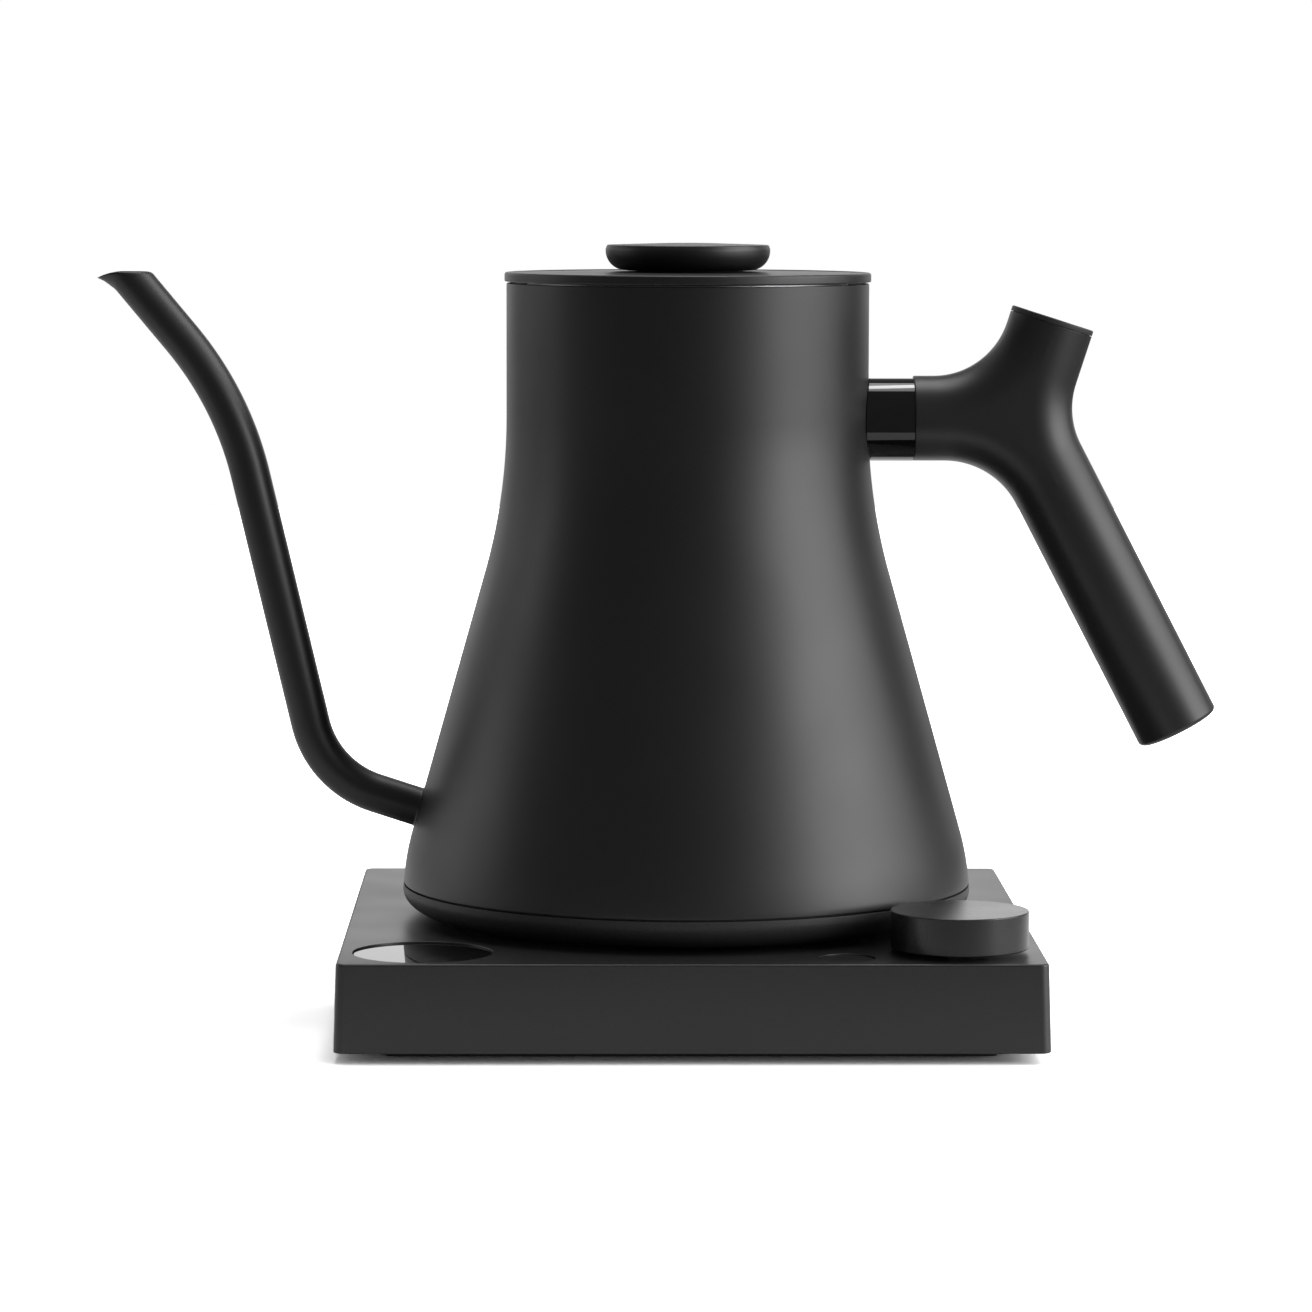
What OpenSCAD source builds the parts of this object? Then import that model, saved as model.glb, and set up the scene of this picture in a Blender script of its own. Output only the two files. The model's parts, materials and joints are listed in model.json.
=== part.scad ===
// Gooseneck electric kettle on a square heating base.
// Millimetres. The origin is at the centre of the base, on the plane that it stands on.
// +X runs to the handle, -X to the spout, -Y to the side with the controls, +Z is up.

/* [Base] */
// Side of the base's top face
base_w = 173; // [165:0.5:180]
// How much wider the base is at its foot than at its top, on each side
base_draft = 0.6; // [0.2:0.1:1]
// Height of the base's top face
base_top = 24.5; // [23.5:0.5:27]
// Height of the gap under the base's side walls
base_gap = 3; // [2.5:0.5:3.5]
// How far the plinth stands back from the side walls
plinth_inset = 9.5; // [8:0.5:12]
// Wall thickness of the base's plastic parts
base_wall = 2.2; // [1.8:0.1:2.4]

/* [Controls] */
// Distance of the display and the dial from the middle, along X
control_x = 66; // [62:0.5:68]
// Distance of the display and the dial from the middle, towards the front
control_y = 66.5; // [62:0.5:67]
// Radius of the display's glass
lens_r = 17.1; // [15:0.1:17.5]
// Radius of the dial
dial_r = 17; // [15:0.1:18]
// Height of the dial's top face above the base
dial_h = 10.5; // [9:0.5:14]
// Gap between the base and the dial's underside
dial_gap = 1.2; // [1:0.1:2]
// How far the dial can be pressed
dial_travel = 0.6; // [0.4:0.1:0.8]
// Radius of the push button
button_r = 6.6; // [5:0.1:7]
// How far the push button's top lies below the base's top
button_sunk = 0.3; // [0:0.1:0.5]
// How far the push button can be pressed
button_travel = 0.8; // [0.5:0.1:1]

/* [Kettle body] */
// Radius of the kettle's straight neck
neck_r = 46.37; // [44:0.1:48]
// Height of the body's upper edge
body_top = 187.1; // [183:0.1:192]
// Height at which the straight neck begins to flare
flare_z = 153; // [148:1:158]
// Radius of the concave flare below the neck
flare_radius = 147; // [120:1:160]
// Half angle of the cone below the flare
cone_angle = 15.68; // [14:0.1:17]
// Radius of the curve at the foot of the cone
foot_radius = 62; // [50:1:65]
// Height of the widest ring, in the bottom cover
widest_z = 29.2; // [28.5:0.1:30]
// Height of the seam between the steel body and the bottom cover
seam_z = 33.2; // [32:0.1:35]
// Wall thickness of the steel body
steel = 1; // [0.8:0.1:1.2]
// Height of the top of the water-side floor
floor_z = 44.2; // [43:0.1:46]

/* [Lid] */
// Radius of the lid's rim
lid_r = 46.87; // [45:0.1:48]
// Height of the rim's band
lid_band = 2.1; // [1.8:0.1:3]
// Gap between the body's edge and the lid's rim
lid_gap = 0.4; // [0.3:0.1:1]
// Radius of the lid's knob
knob_r = 21.05; // [18:0.1:24]
// Height of the lid's knob
knob_h = 6.9; // [5.5:0.1:12]

/* [Spout] */
// Outside diameter of the spout's tube
spout_od = 10; // [9:0.1:11]
// Wall thickness of the spout's tube
spout_wall = 0.8; // [0.6:0.1:1]
// Slope of the spout's tail above the horizontal
tail_tilt = 18; // [16:1:20]
// Slope of the long riser from the vertical
riser_lean = 13.3; // [12:0.1:15]
// Slope of the top end from the vertical
tip_lean = 39.7; // [38:0.1:42]
// Bend radius at the spout's foot
foot_bend = 25; // [20:1:28]
// Bend radius below the tip
tip_bend = 85; // [70:1:90]
// Height of the spout's mouth
mouth_z = 189.8; // [188:0.1:191]

/* [Handle] */
// Radius of the three branches of the grip
grip_r = 10.88; // [10:0.1:12]
// Radius of the glossy neck that carries the grip
handle_neck_r = 10.6; // [9:0.1:10.8]
// Place of the point where the grip's three branches meet, along X
joint_x = 85.35; // [83:0.1:88]
// Height of the point where the grip's three branches meet
joint_z = 152.65; // [150:0.1:156]
// Place of the grip's inner end, along X
grip_start = 57.8; // [56:0.1:60]
// Length of the upper stub with its cap
stub_len = 27; // [26:0.1:30]
// Slope of the stub from the horizontal
stub_angle = 72.2; // [70:0.1:75]
// Length of the long branch
handle_len = 90; // [80:1:110]
// Slope of the long branch below the horizontal
handle_angle = 62.5; // [60:0.5:65]

/* [Motion] */
// Moves the kettle up from its base
kettle_raise = 0; // [0:1:70]
// Turns the kettle on its base
kettle_spin = 0; // [-180:1:180]
// Moves the lid up from the kettle
lid_raise = 0; // [0:1:40]

/* [Hidden] */
$fn = 96;
eps = 0.01;

// Colours
powder_black = [0.09, 0.09, 0.095];
plastic_black = [0.06, 0.06, 0.065];
gloss_black = [0.02, 0.02, 0.025];
rubber_black = [0.04, 0.04, 0.04];
bare_steel = [0.72, 0.73, 0.74];
bright_zinc = [0.66, 0.67, 0.69];
aluminium = [0.8, 0.81, 0.82];
brass = [0.78, 0.62, 0.3];
board_green = [0.05, 0.3, 0.16];
part_white = [0.86, 0.86, 0.84];
silicone = [0.55, 0.56, 0.57];

// Base
half_top = base_w / 2;
half_foot = half_top + base_draft;
corner_r = 2.3;
inner_half = half_top - base_wall;
roof_z = base_top - base_wall;
plinth_half = half_foot - plinth_inset;
plinth_z = 0.8;
tray_half = plinth_half - base_wall;
tray_floor = plinth_z + 2;
flange_top = base_gap + 2;
ring_outer = plinth_half - 2.6;
ring_inner = ring_outer - 6;
ring_h = 1.5;

// Controls
display_at = [-control_x, -control_y];
dial_at = [control_x, -control_y];
button_at = [37.8, -75.9];
lens_t = 1.2;
lens_recess = 0.4;
board_t = 1.6;
ui_board_z = 8.9;
ui_top = ui_board_z + board_t;
shaft_r = 3;
shaft_fit = 0.05;
bushing_r = 4.5;
shaft_foot = 17.8;

// Places of the screws
housing_screw_at = [[-62, -40], [62, -40], [-62, 62], [62, 62]];
ui_screw_at = [[-44, -54], [44, -54], [-14, -79], [14, -79]];
main_screw_at = [[-50, 40], [50, 40], [-50, 74], [50, 74]];
clamp_screw_at = [[-9, 0], [9, 0]];
main_board_z = 7;
main_top = main_board_z + board_t;
relay_at = [-30, 52];
relay_pin_r = 0.6;
relay_pin_at = [for (dx = [-6, 6], dy = [-5, 5]) relay_at + [dx, dy]];
screw_r = 1.5;
hole_r = 1.7;
pilot_r = 1.55;
head_r = 2.8;
head_h = 1.6;

// Cord entry
gland_z = 12;
gland_bore = 3.5;
clamp_y = 62;
clamp_w = 26;

// Plug and socket
socket_r = 16;
socket_top = base_top + 5.5;
socket_floor = 10;
socket_flange_z = 16;
socket_screw_ring = 27;
socket_screw_angles = [30, 150, 270];
slot_floor = 14;
slots = [[6, 8.6], [10.6, 13.2]];
slot_gap = 0.6;
pin_r = 2.4;
pin_hole = 3;
plug_r = 20;
plug_z = socket_top + 1.5;
plug_top = plug_z + 5.5;

// Kettle body: the cone is tangent to the flare above it and to the foot's curve below it
function flare_end(t) = [
    neck_r + flare_radius - (flare_radius + t) * cos(cone_angle),
    flare_z - (flare_radius + t) * sin(cone_angle)
];
foot_start_z = widest_z + foot_radius * sin(cone_angle);
foot_start_r = flare_end(0)[0] + tan(cone_angle) * (flare_end(0)[1] - foot_start_z);
foot_centre_r = foot_start_r - foot_radius * cos(cone_angle);
function foot_end(t) = [
    foot_centre_r + (foot_radius - t) * cos(cone_angle),
    widest_z + (foot_radius - t) * sin(cone_angle)
];
widest_r = foot_centre_r + foot_radius;
seam_gap = 0.4;
kettle_foot_z = base_top + 0.3;
cover_z = kettle_foot_z + 0.4;
cover_t = 2;
cover_hole_r = 23;
cover_flat_r = widest_r - 10;
cover_curve_z = 31.5;
stud_ring = 60;
stud_r = 3;
stud_foot = 35;
stud_angles = [30, 150, 270];
floor_under = floor_z - steel;
diffuser_r = 46;
diffuser_t = 3;
diffuser_under = floor_under - diffuser_t;
element_ring = 38;
element_r = 3.2;
element_gap_angle = 60;
probe_at = [-36, -36];
probe_r = 2;
probe_hole = 3.2;
cutout_at = [0, -28];

// Lid
lid_z = body_top + lid_gap;
lid_edge_z = lid_z + lid_band;
lid_top = lid_edge_z + 0.5;
lid_skin = 1;
skirt_r = 41;
skirt_z = 177;
washer_t = 0.3;
knob_z = lid_top + washer_t;
knob_round = 3.9;
knob_top = knob_z + knob_h;

// Spout, in the plane of symmetry; a heading is an angle from +X towards +Z
tail_heading = 180 - tail_tilt;
riser_heading = 90 + riser_lean;
tip_heading = 90 + tip_lean;
foot_turn = tail_heading - riser_heading;
tip_turn = tip_heading - riser_heading;
foot_corner = [-93.6, 60.15];
riser_len = 99.9;
tip_corner = foot_corner + riser_len * heading(riser_heading);
foot_tangent = foot_bend * tan(foot_turn / 2);
tip_tangent = tip_bend * tan(tip_turn / 2);
tail_len = 36;
run_in = 0.5;
bend_step = 0.05;
lip_at = [-150.7, 188.2];

// Handle, in the plane of symmetry
joint_at = [joint_x, joint_z];
cap_t = 1.4;
cap_seam = 0.1;
neck_z = joint_z - 0.3;
tang_r = 5.9;
socket_gap = 0.1;
tang_end = joint_x + 5.5;
weight_from = 24;
weight_to = 80;
weight_r = 6.4;
stub_bore_r = 7;
stub_bore_from = 9;
// Each blend: the headings of the two branches that it joins, and its radius
neck_blends = [
    [stub_angle, 180, 19.8],
    [180, 360 - handle_angle, 21],
    [-handle_angle, stub_angle, 20]
];

function heading(a) = [cos(a), sin(a)];

// ---------- Shared shapes ----------

module square_prism(half, z0, z1, r) {
    translate([0, 0, z0])
        linear_extrude(z1 - z0)
            union() {
                square([2 * half, 2 * (half - r)], center = true);
                square([2 * (half - r), 2 * half], center = true);
                for (sx = [-1, 1], sy = [-1, 1])
                    translate([sx * (half - r), sy * (half - r)])
                        circle(r);
            }
}

module disc(at, r, z0, z1) {
    translate([at[0], at[1], z0])
        cylinder(r = r, h = z1 - z0);
}

module tube(at, r_in, r_out, z0, z1) {
    difference() {
        disc(at, r_out, z0, z1);
        disc(at, r_in, z0 - 1, z1 + 1);
    }
}

module block(at, size, z0, z1) {
    translate([at[0] - size[0] / 2, at[1] - size[1] / 2, z0])
        cube([size[0], size[1], z1 - z0]);
}

// A screw that points up: its head starts at z0, and its shank ends at z1
module screw_up(at, z0, z1) {
    difference() {
        union() {
            disc(at, head_r, z0, z0 + head_h);
            disc(at, screw_r, z0, z1);
        }
        disc(at, 1.3, z0 - 1, z0 + 0.8, $fn = 6);
    }
}

// A screw that points down: its head ends at z1, and its shank starts at z0
module screw_down(at, z0, z1) {
    translate([at[0], at[1], z1])
        mirror([0, 0, 1])
            screw_up([0, 0], 0, z1 - z0);
}

// Turns a drawing in the X-Y plane up into the plane of symmetry
module in_xz() {
    rotate([90, 0, 0])
        children();
}

module rod(from, angle, len, r) {
    translate([from[0], from[1], 0])
        rotate([0, 0, angle])
            rotate([0, 90, 0])
                cylinder(r = r, h = len);
}

module bend(centre, radius, from_angle, sweep, r) {
    translate([centre[0], centre[1], 0])
        rotate([0, 0, from_angle])
            rotate_extrude(angle = sweep)
                translate([radius, 0])
                    circle(r);
}

module kettle_place() {
    translate([0, 0, kettle_raise])
        rotate([0, 0, kettle_spin])
            children();
}

module plug_place() {
    translate([0, 0, kettle_raise])
        children();
}

module lid_place() {
    kettle_place()
        translate([0, 0, lid_raise])
            children();
}

// ---------- Base ----------

module housing_outside() {
    hull() {
        square_prism(half_top - 0.6, base_top - 1, base_top, corner_r - 0.6, $fn = 32);
        square_prism(half_top, base_top - 1, base_top - 0.6, corner_r, $fn = 32);
        square_prism(half_foot, base_gap + 1, base_gap + 1.2, corner_r, $fn = 32);
        square_prism(half_foot - 0.8, base_gap, base_gap + 0.2, corner_r - 0.8, $fn = 32);
    }
}

module base_housing() {
    color(powder_black)
        difference() {
            union() {
                difference() {
                    housing_outside();
                    square_prism(inner_half, base_gap - 1, roof_z, 1);
                }
                for (p = housing_screw_at)
                    disc(p, 3.5, tray_floor + 2, roof_z + eps);
                for (p = ui_screw_at)
                    disc(p, 3, ui_top, roof_z + eps);
                for (a = socket_screw_angles)
                    disc(socket_screw_ring * heading(a), 3.5, socket_flange_z + 2, roof_z + eps);
            }
            disc(display_at, lens_r + 0.15, base_top - lens_recess - lens_t, base_top + 1);
            disc(display_at, lens_r - 1.2, roof_z - 1, base_top + 1);
            disc(dial_at, bushing_r + 0.1, roof_z - 1, base_top + 1);
            disc(button_at, button_r + 0.25, roof_z - 1, base_top + 1);
            disc([0, 0], socket_r + 0.3, roof_z - 1, base_top + 1);
            for (p = housing_screw_at)
                disc(p, pilot_r, tray_floor, roof_z - 3);
            for (p = ui_screw_at)
                disc(p, pilot_r, ui_top - 1, roof_z - 3);
            for (a = socket_screw_angles)
                disc(socket_screw_ring * heading(a), pilot_r, socket_flange_z, base_top - 1);
            translate([0, half_foot + 1, gland_z])
                rotate([90, 0, 0])
                    cylinder(r = 5.6, h = 6);
        }
}

module base_plate() {
    color(plastic_black)
        difference() {
            union() {
                square_prism(plinth_half, plinth_z + 0.8, flange_top, 3);
                square_prism(plinth_half - 0.8, plinth_z, plinth_z + 1, 2.2);
                square_prism(inner_half - 0.15, base_gap, flange_top, 1);
            }
            difference() {
                square_prism(tray_half, tray_floor, flange_top + 1, 1.5);
                for (p = housing_screw_at)
                    disc(p, 4.2, tray_floor - 1, tray_floor + 2);
                for (p = main_screw_at)
                    disc(p, 3.5, tray_floor - 1, flange_top + 2);
            }
            difference() {
                square_prism(ring_outer, plinth_z - 1, ring_h, 2);
                square_prism(ring_inner, plinth_z - 2, ring_h + 1, 1);
            }
            for (p = housing_screw_at) {
                disc(p, hole_r, 0, tray_floor + 3);
                disc(p, head_r + 0.3, 0, plinth_z + head_h + 0.3);
            }
            for (p = main_screw_at)
                disc(p, pilot_r, tray_floor - 0.5, main_board_z + 1);
        }
    color(plastic_black)
        for (p = main_screw_at)
            tube(p, pilot_r, 3.5, flange_top - eps, main_board_z);
    color(plastic_black)
        difference() {
            block([0, clamp_y], [clamp_w, 8], tray_floor - eps, gland_z - 0.5);
            translate([0, clamp_y + 5, gland_z])
                rotate([90, 0, 0])
                    cylinder(r = gland_bore, h = 10);
            for (p = clamp_screw_at)
                disc([p[0], clamp_y], pilot_r, tray_floor + 1, gland_z + 1);
        }
}

module foot_ring() {
    color(rubber_black)
        difference() {
            square_prism(ring_outer - 0.05, 0, ring_h, 2);
            square_prism(ring_inner + 0.05, -1, ring_h + 1, 1);
        }
}

module housing_screws() {
    color(bright_zinc)
        for (p = housing_screw_at)
            screw_up(p, plinth_z + 0.3, roof_z - 6);
}

module display_lens() {
    color(gloss_black)
        disc(display_at, lens_r, base_top - lens_recess - lens_t, base_top - lens_recess);
}

module display_frame() {
    color(plastic_black)
        difference() {
            block(display_at, [34, 34], 17, roof_z);
            disc(display_at, 15.1, 18.6, roof_z + 1);
            block(display_at, [24, 24], 16, 19);
        }
}

module display_panel() {
    color(part_white)
        disc(display_at, 15, 18.6, roof_z);
}

module ui_board() {
    color(board_green)
        difference() {
            block([0, -66], [162, 33], ui_board_z, ui_top);
            for (p = ui_screw_at)
                disc(p, hole_r, ui_board_z - 1, ui_top + 1);
        }
}

module encoder_body() {
    color(bright_zinc)
        difference() {
            union() {
                block(dial_at, [13, 13], ui_top, 17);
                disc(dial_at, bushing_r, 17 - eps, base_top + 1.6);
            }
            disc(dial_at, shaft_r + shaft_fit, 13, base_top + 3);
        }
}

module encoder_nut() {
    color(bright_zinc)
        difference() {
            disc(dial_at, 6.4, base_top, base_top + 1.5, $fn = 6);
            disc(dial_at, bushing_r + 0.02, base_top - 1, base_top + 3);
        }
}

module encoder_plunger() {
    color(part_white)
        disc(dial_at, shaft_r - 0.1, 14, shaft_foot);
}

module encoder_shaft() {
    color(bright_zinc)
        disc(dial_at, shaft_r, shaft_foot, base_top + dial_h - 3);
}

module dial_knob() {
    z0 = base_top + dial_gap;
    h = dial_h - dial_gap;
    edge = 0.4;
    color(powder_black)
        translate([dial_at[0], dial_at[1], z0])
            difference() {
                rotate_extrude() {
                    translate([0, edge])
                        square([dial_r, h - 2 * edge]);
                    square([dial_r - edge, h]);
                    translate([dial_r - edge, edge])
                        circle(edge, $fn = 32);
                    translate([dial_r - edge, h - edge])
                        circle(edge, $fn = 32);
                }
                translate([0, 0, -1])
                    cylinder(r = 8.5, h = 3.6);
                translate([0, 0, -1])
                    cylinder(r = shaft_r + 0.02, h = h - 2);
            }
}

module button_switch() {
    color(bright_zinc)
        union() {
            block(button_at, [6, 6], ui_top, ui_top + 4);
            disc(button_at, 1.7, ui_top + 4 - eps, ui_top + 5);
        }
}

module power_button() {
    foot = ui_top + 5 + button_travel + 0.1;
    edge = 0.3;
    color(powder_black)
        union() {
            disc(button_at, button_r, base_top - 3.5, base_top - button_sunk - edge);
            disc(button_at, button_r - edge, base_top - 1, base_top - button_sunk);
            tube(button_at, 3, button_r - 1.2, foot + 1, base_top - 3.5 + eps);
            disc(button_at, 3.1, foot, base_top - 3.5 + eps);
        }
}

module main_board() {
    color(board_green)
        difference() {
            block([0, 57], [116, 42], main_board_z, main_top);
            for (p = main_screw_at)
                disc(p, hole_r, main_board_z - 1, main_top + 1);
            block([0, clamp_y], [clamp_w + 2, 60], main_board_z - 1, main_top + 1);
            for (p = relay_pin_at)
                disc(p, relay_pin_r + 0.05, main_board_z - 1, main_top + 1);
        }
    color(board_green)
        block([0, 32], [116, 8 + eps], main_board_z, main_top);
}

module power_relay() {
    color([0.1, 0.25, 0.55])
        union() {
            block(relay_at, [19, 15.5], main_top, 21);
            for (p = relay_pin_at)
                disc(p, relay_pin_r, main_board_z - 1.5, main_top + eps);
        }
}

module transformer() {
    color([0.85, 0.7, 0.2])
        difference() {
            block([30, 54], [20, 20], main_top, 21.4);
            for (s = [-1, 1])
                block([30 + s * 10.5, 54], [5, 12], main_top + 3.5, 18);
        }
}

module film_capacitor() {
    color([0.75, 0.68, 0.35])
        block([-30, 69], [18, 8], main_top, 20);
}

module smoothing_capacitors() {
    color([0.12, 0.12, 0.3])
        for (x = [34, 44])
            difference() {
                disc([x, 70], 4, main_top, 20.5);
                block([x, 70], [5, 0.5], 20.2, 22);
            }
}

module mains_fuse() {
    color(part_white)
        translate([-39, 34, main_top + 3])
            rotate([0, 90, 0])
                cylinder(r = 2.6, h = 20);
}

module buzzer() {
    color(plastic_black)
        tube([52, 57], 1, 4, main_top, 17);
}

module terminal_block() {
    color(part_white)
        difference() {
            block([0, 32], [26, 8], main_top, 15.4);
            for (x = [-8, 0, 8])
                disc([x, 32], 2, 12, 16);
        }
}

module board_screws() {
    color(bright_zinc) {
        for (p = ui_screw_at)
            screw_up(p, ui_board_z - head_h, roof_z - 6);
        for (p = main_screw_at)
            screw_down(p, tray_floor + 1, main_top + head_h);
        for (p = clamp_screw_at)
            screw_down([p[0], clamp_y], gland_z - 4, gland_z + 4.5 + head_h);
    }
}

module socket_housing() {
    color(plastic_black)
        difference() {
            union() {
                disc([0, 0], socket_r, socket_floor, socket_top - 0.5);
                disc([0, 0], socket_r - 0.5, socket_floor, socket_top);
                disc([0, 0], 31, socket_flange_z, socket_flange_z + 2);
            }
            disc([0, 0], pin_hole, slot_floor - 2, socket_top + 1);
            for (s = slots)
                tube([0, 0], s[0], s[1], slot_floor, socket_top + 1);
            for (a = socket_screw_angles)
                disc(socket_screw_ring * heading(a), hole_r, socket_flange_z - 1, socket_flange_z + 3);
            for (a = [0, 120, 240])
                rotate([0, 0, a])
                    translate([8.5, -2.5, socket_floor - 1])
                        cube([2.2, 5, slot_floor - socket_floor + 5]);
        }
}

module socket_contacts() {
    color(brass)
        for (a = [0, 120, 240])
            rotate([0, 0, a])
                translate([9, -2, socket_floor - 2.5])
                    union() {
                        cube([1.2, 4, slot_floor - socket_floor + 5]);
                        cube([5, 4, 1]);
                    }
}

module socket_screws() {
    color(bright_zinc)
        for (a = socket_screw_angles)
            screw_up(socket_screw_ring * heading(a), socket_flange_z - head_h, roof_z - 1);
}

module cord_gland() {
    color(rubber_black)
        translate([0, 0, gland_z])
            rotate([-90, 0, 0])
                difference() {
                    union() {
                        translate([0, 0, inner_half - 2.4])
                            cylinder(r = 7, h = 2.3);
                        translate([0, 0, inner_half - 1])
                            cylinder(r = 5.5, h = half_foot - inner_half + 1.2);
                        translate([0, 0, half_foot + 0.1])
                            cylinder(r = 7, h = 1.8);
                    }
                    translate([0, 0, inner_half - 5])
                        cylinder(r = gland_bore, h = 14);
                }
}

module cord_clamp() {
    color(plastic_black)
        difference() {
            block([0, clamp_y], [clamp_w, 8], gland_z + 0.3, gland_z + 4.5);
            translate([0, clamp_y + 5, gland_z])
                rotate([90, 0, 0])
                    cylinder(r = gland_bore, h = 10);
            for (p = clamp_screw_at)
                disc([p[0], clamp_y], hole_r, gland_z - 1, gland_z + 6);
        }
}

// ---------- Plug under the kettle ----------

module plug_housing() {
    color(plastic_black)
        plug_place()
            difference() {
                union() {
                    disc([0, 0], plug_r, plug_z, plug_top);
                    tube([0, 0], plug_r - 2.5, plug_r, kettle_foot_z + 1.2, plug_z + eps);
                }
                disc([0, 0], pin_r + 0.05, plug_z - 1, plug_z + 3);
                for (s = slots)
                    tube([0, 0], s[0] + slot_gap - 0.05, s[1] - slot_gap + 0.05, plug_z - 1, plug_z + 3);
            }
}

module plug_rings() {
    color(brass)
        plug_place()
            for (s = slots)
                tube([0, 0], s[0] + slot_gap, s[1] - slot_gap, slot_floor + 2, plug_z + 3);
}

module plug_pin() {
    color(brass)
        plug_place()
            union() {
                disc([0, 0], pin_r, slot_floor + 2, plug_z + 3);
                translate([0, 0, slot_floor + 1])
                    cylinder(r1 = pin_r - 1, r2 = pin_r, h = 1 + eps);
            }
}

// ---------- Kettle body ----------

// The half section of the body, drawn a distance t inside its outer face
module body_section(t, z0, z1) {
    upper = flare_end(t);
    lower = foot_end(t);
    intersection() {
        translate([0, z0])
            square([widest_r + 1, z1 - z0]);
        union() {
            translate([0, lower[1] - 1])
                square([neck_r - t, z1 + 3 - lower[1]]);
            difference() {
                translate([0, upper[1]])
                    square([upper[0], flare_z - upper[1]]);
                translate([neck_r + flare_radius, flare_z])
                    circle(flare_radius + t, $fn = 360);
            }
            polygon([[0, lower[1]], lower, upper, [0, upper[1]]]);
            intersection() {
                translate([0, z0 - 2])
                    square([widest_r + 1, lower[1] - z0 + 2]);
                translate([foot_centre_r, widest_z])
                    circle(foot_radius - t, $fn = 360);
            }
        }
    }
}

module body_solid(t) {
    rotate_extrude()
        body_section(t, seam_z, body_top);
}

module spout_tail_bore(r) {
    in_xz()
        rod(foot_corner - 40 * heading(tail_heading), tail_heading, 30, r);
}

module body_shell() {
    color(powder_black)
        kettle_place()
            difference() {
                rotate_extrude()
                    difference() {
                        body_section(0, seam_z, body_top);
                        body_section(steel, seam_z - 1, body_top + 1);
                    }
                spout_tail_bore(spout_od / 2 - spout_wall);
            }
}

// The tube's straight runs reach a little way into its bends, which are a hair thinner
module spout_path(r) {
    foot_from = foot_corner - foot_tangent * heading(tail_heading);
    foot_to = foot_corner + foot_tangent * heading(riser_heading);
    tip_from = tip_corner - tip_tangent * heading(riser_heading);
    tip_to = tip_corner + tip_tangent * heading(tip_heading);
    in_xz() {
        rod(foot_from - (tail_len - foot_tangent) * heading(tail_heading),
            tail_heading, tail_len - foot_tangent + run_in, r);
        bend(foot_from + foot_bend * heading(tail_heading - 90), foot_bend,
            tail_heading + 90 - foot_turn, foot_turn, r - bend_step);
        rod(foot_to - run_in * heading(riser_heading), riser_heading,
            riser_len - foot_tangent - tip_tangent + 2 * run_in, r);
        bend(tip_from + tip_bend * heading(riser_heading + 90), tip_bend,
            riser_heading - 90, tip_turn, r - bend_step);
        rod(tip_to - run_in * heading(tip_heading), tip_heading, 40, r);
    }
}

module spout_end(r, z0, z1) {
    tip_to = tip_corner + tip_tangent * heading(tip_heading);
    intersection() {
        in_xz()
            rod(tip_to, tip_heading, 40, r, $fn = 32);
        block([tip_to[0] - 10, 0], [60, 20], z0, z1);
    }
}

module spout() {
    color(powder_black)
        kettle_place()
            difference() {
                union() {
                    difference() {
                        spout_path(spout_od / 2);
                        block([tip_corner[0], 0], [100, 40], mouth_z, mouth_z + 60);
                    }
                    hull() {
                        spout_end(spout_od / 2 - 0.02, mouth_z - 4.8, mouth_z);
                        translate([lip_at[0], 0, lip_at[1]])
                            sphere(r = 0.3, $fn = 16);
                    }
                }
                spout_path(spout_od / 2 - spout_wall);
                hull() {
                    spout_end(spout_od / 2 - spout_wall - 0.02, mouth_z - 3.6, mouth_z + 2);
                    translate([lip_at[0] + 1.1, 0, lip_at[1] + 0.6])
                        cylinder(r = 0.2, h = 2, $fn = 16);
                }
                body_solid(0);
            }
}

module kettle_floor() {
    color(bare_steel)
        kettle_place()
            difference() {
                rotate_extrude()
                    difference() {
                        body_section(steel, floor_under - 5, floor_z);
                        body_section(2 * steel, floor_under - 6, floor_under);
                    }
                disc(probe_at, probe_hole, floor_under - 1, floor_z + 1);
            }
}

module diffuser_plate() {
    color(aluminium)
        kettle_place()
            disc([0, 0], diffuser_r, diffuser_under, floor_under);
}

module heating_element() {
    end_angle = 90 + element_gap_angle / 2;
    color(bare_steel)
        kettle_place()
            intersection() {
                union() {
                    translate([0, 0, diffuser_under - element_r + 0.5])
                        rotate([0, 0, end_angle])
                            rotate_extrude(angle = 360 - element_gap_angle)
                                translate([element_ring, 0])
                                    circle(element_r);
                    for (s = [-1, 1])
                        disc(element_ring * heading(90 + s * (element_gap_angle / 2 + 3)), 1.6,
                            cover_z + 5, diffuser_under - element_r);
                }
                disc([0, 0], diffuser_r, 0, diffuser_under);
            }
}

module temperature_probe() {
    color(bare_steel)
        kettle_place()
            union() {
                disc(probe_at, probe_r, floor_under - 5, floor_z + 8);
                translate([probe_at[0], probe_at[1], floor_z + 8])
                    sphere(r = probe_r);
                disc(probe_at, 4.5, floor_under - 5, floor_under - 3.5);
            }
}

module probe_seal() {
    color(silicone)
        kettle_place()
            difference() {
                union() {
                    disc(probe_at, probe_hole - 0.05, floor_under - 2, floor_z + 1);
                    disc(probe_at, 4.5, floor_under - 3, floor_under);
                    disc(probe_at, 4.5, floor_z, floor_z + 1.2);
                }
                disc(probe_at, probe_r + 0.05, floor_under - 4, floor_z + 3);
            }
}

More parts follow.
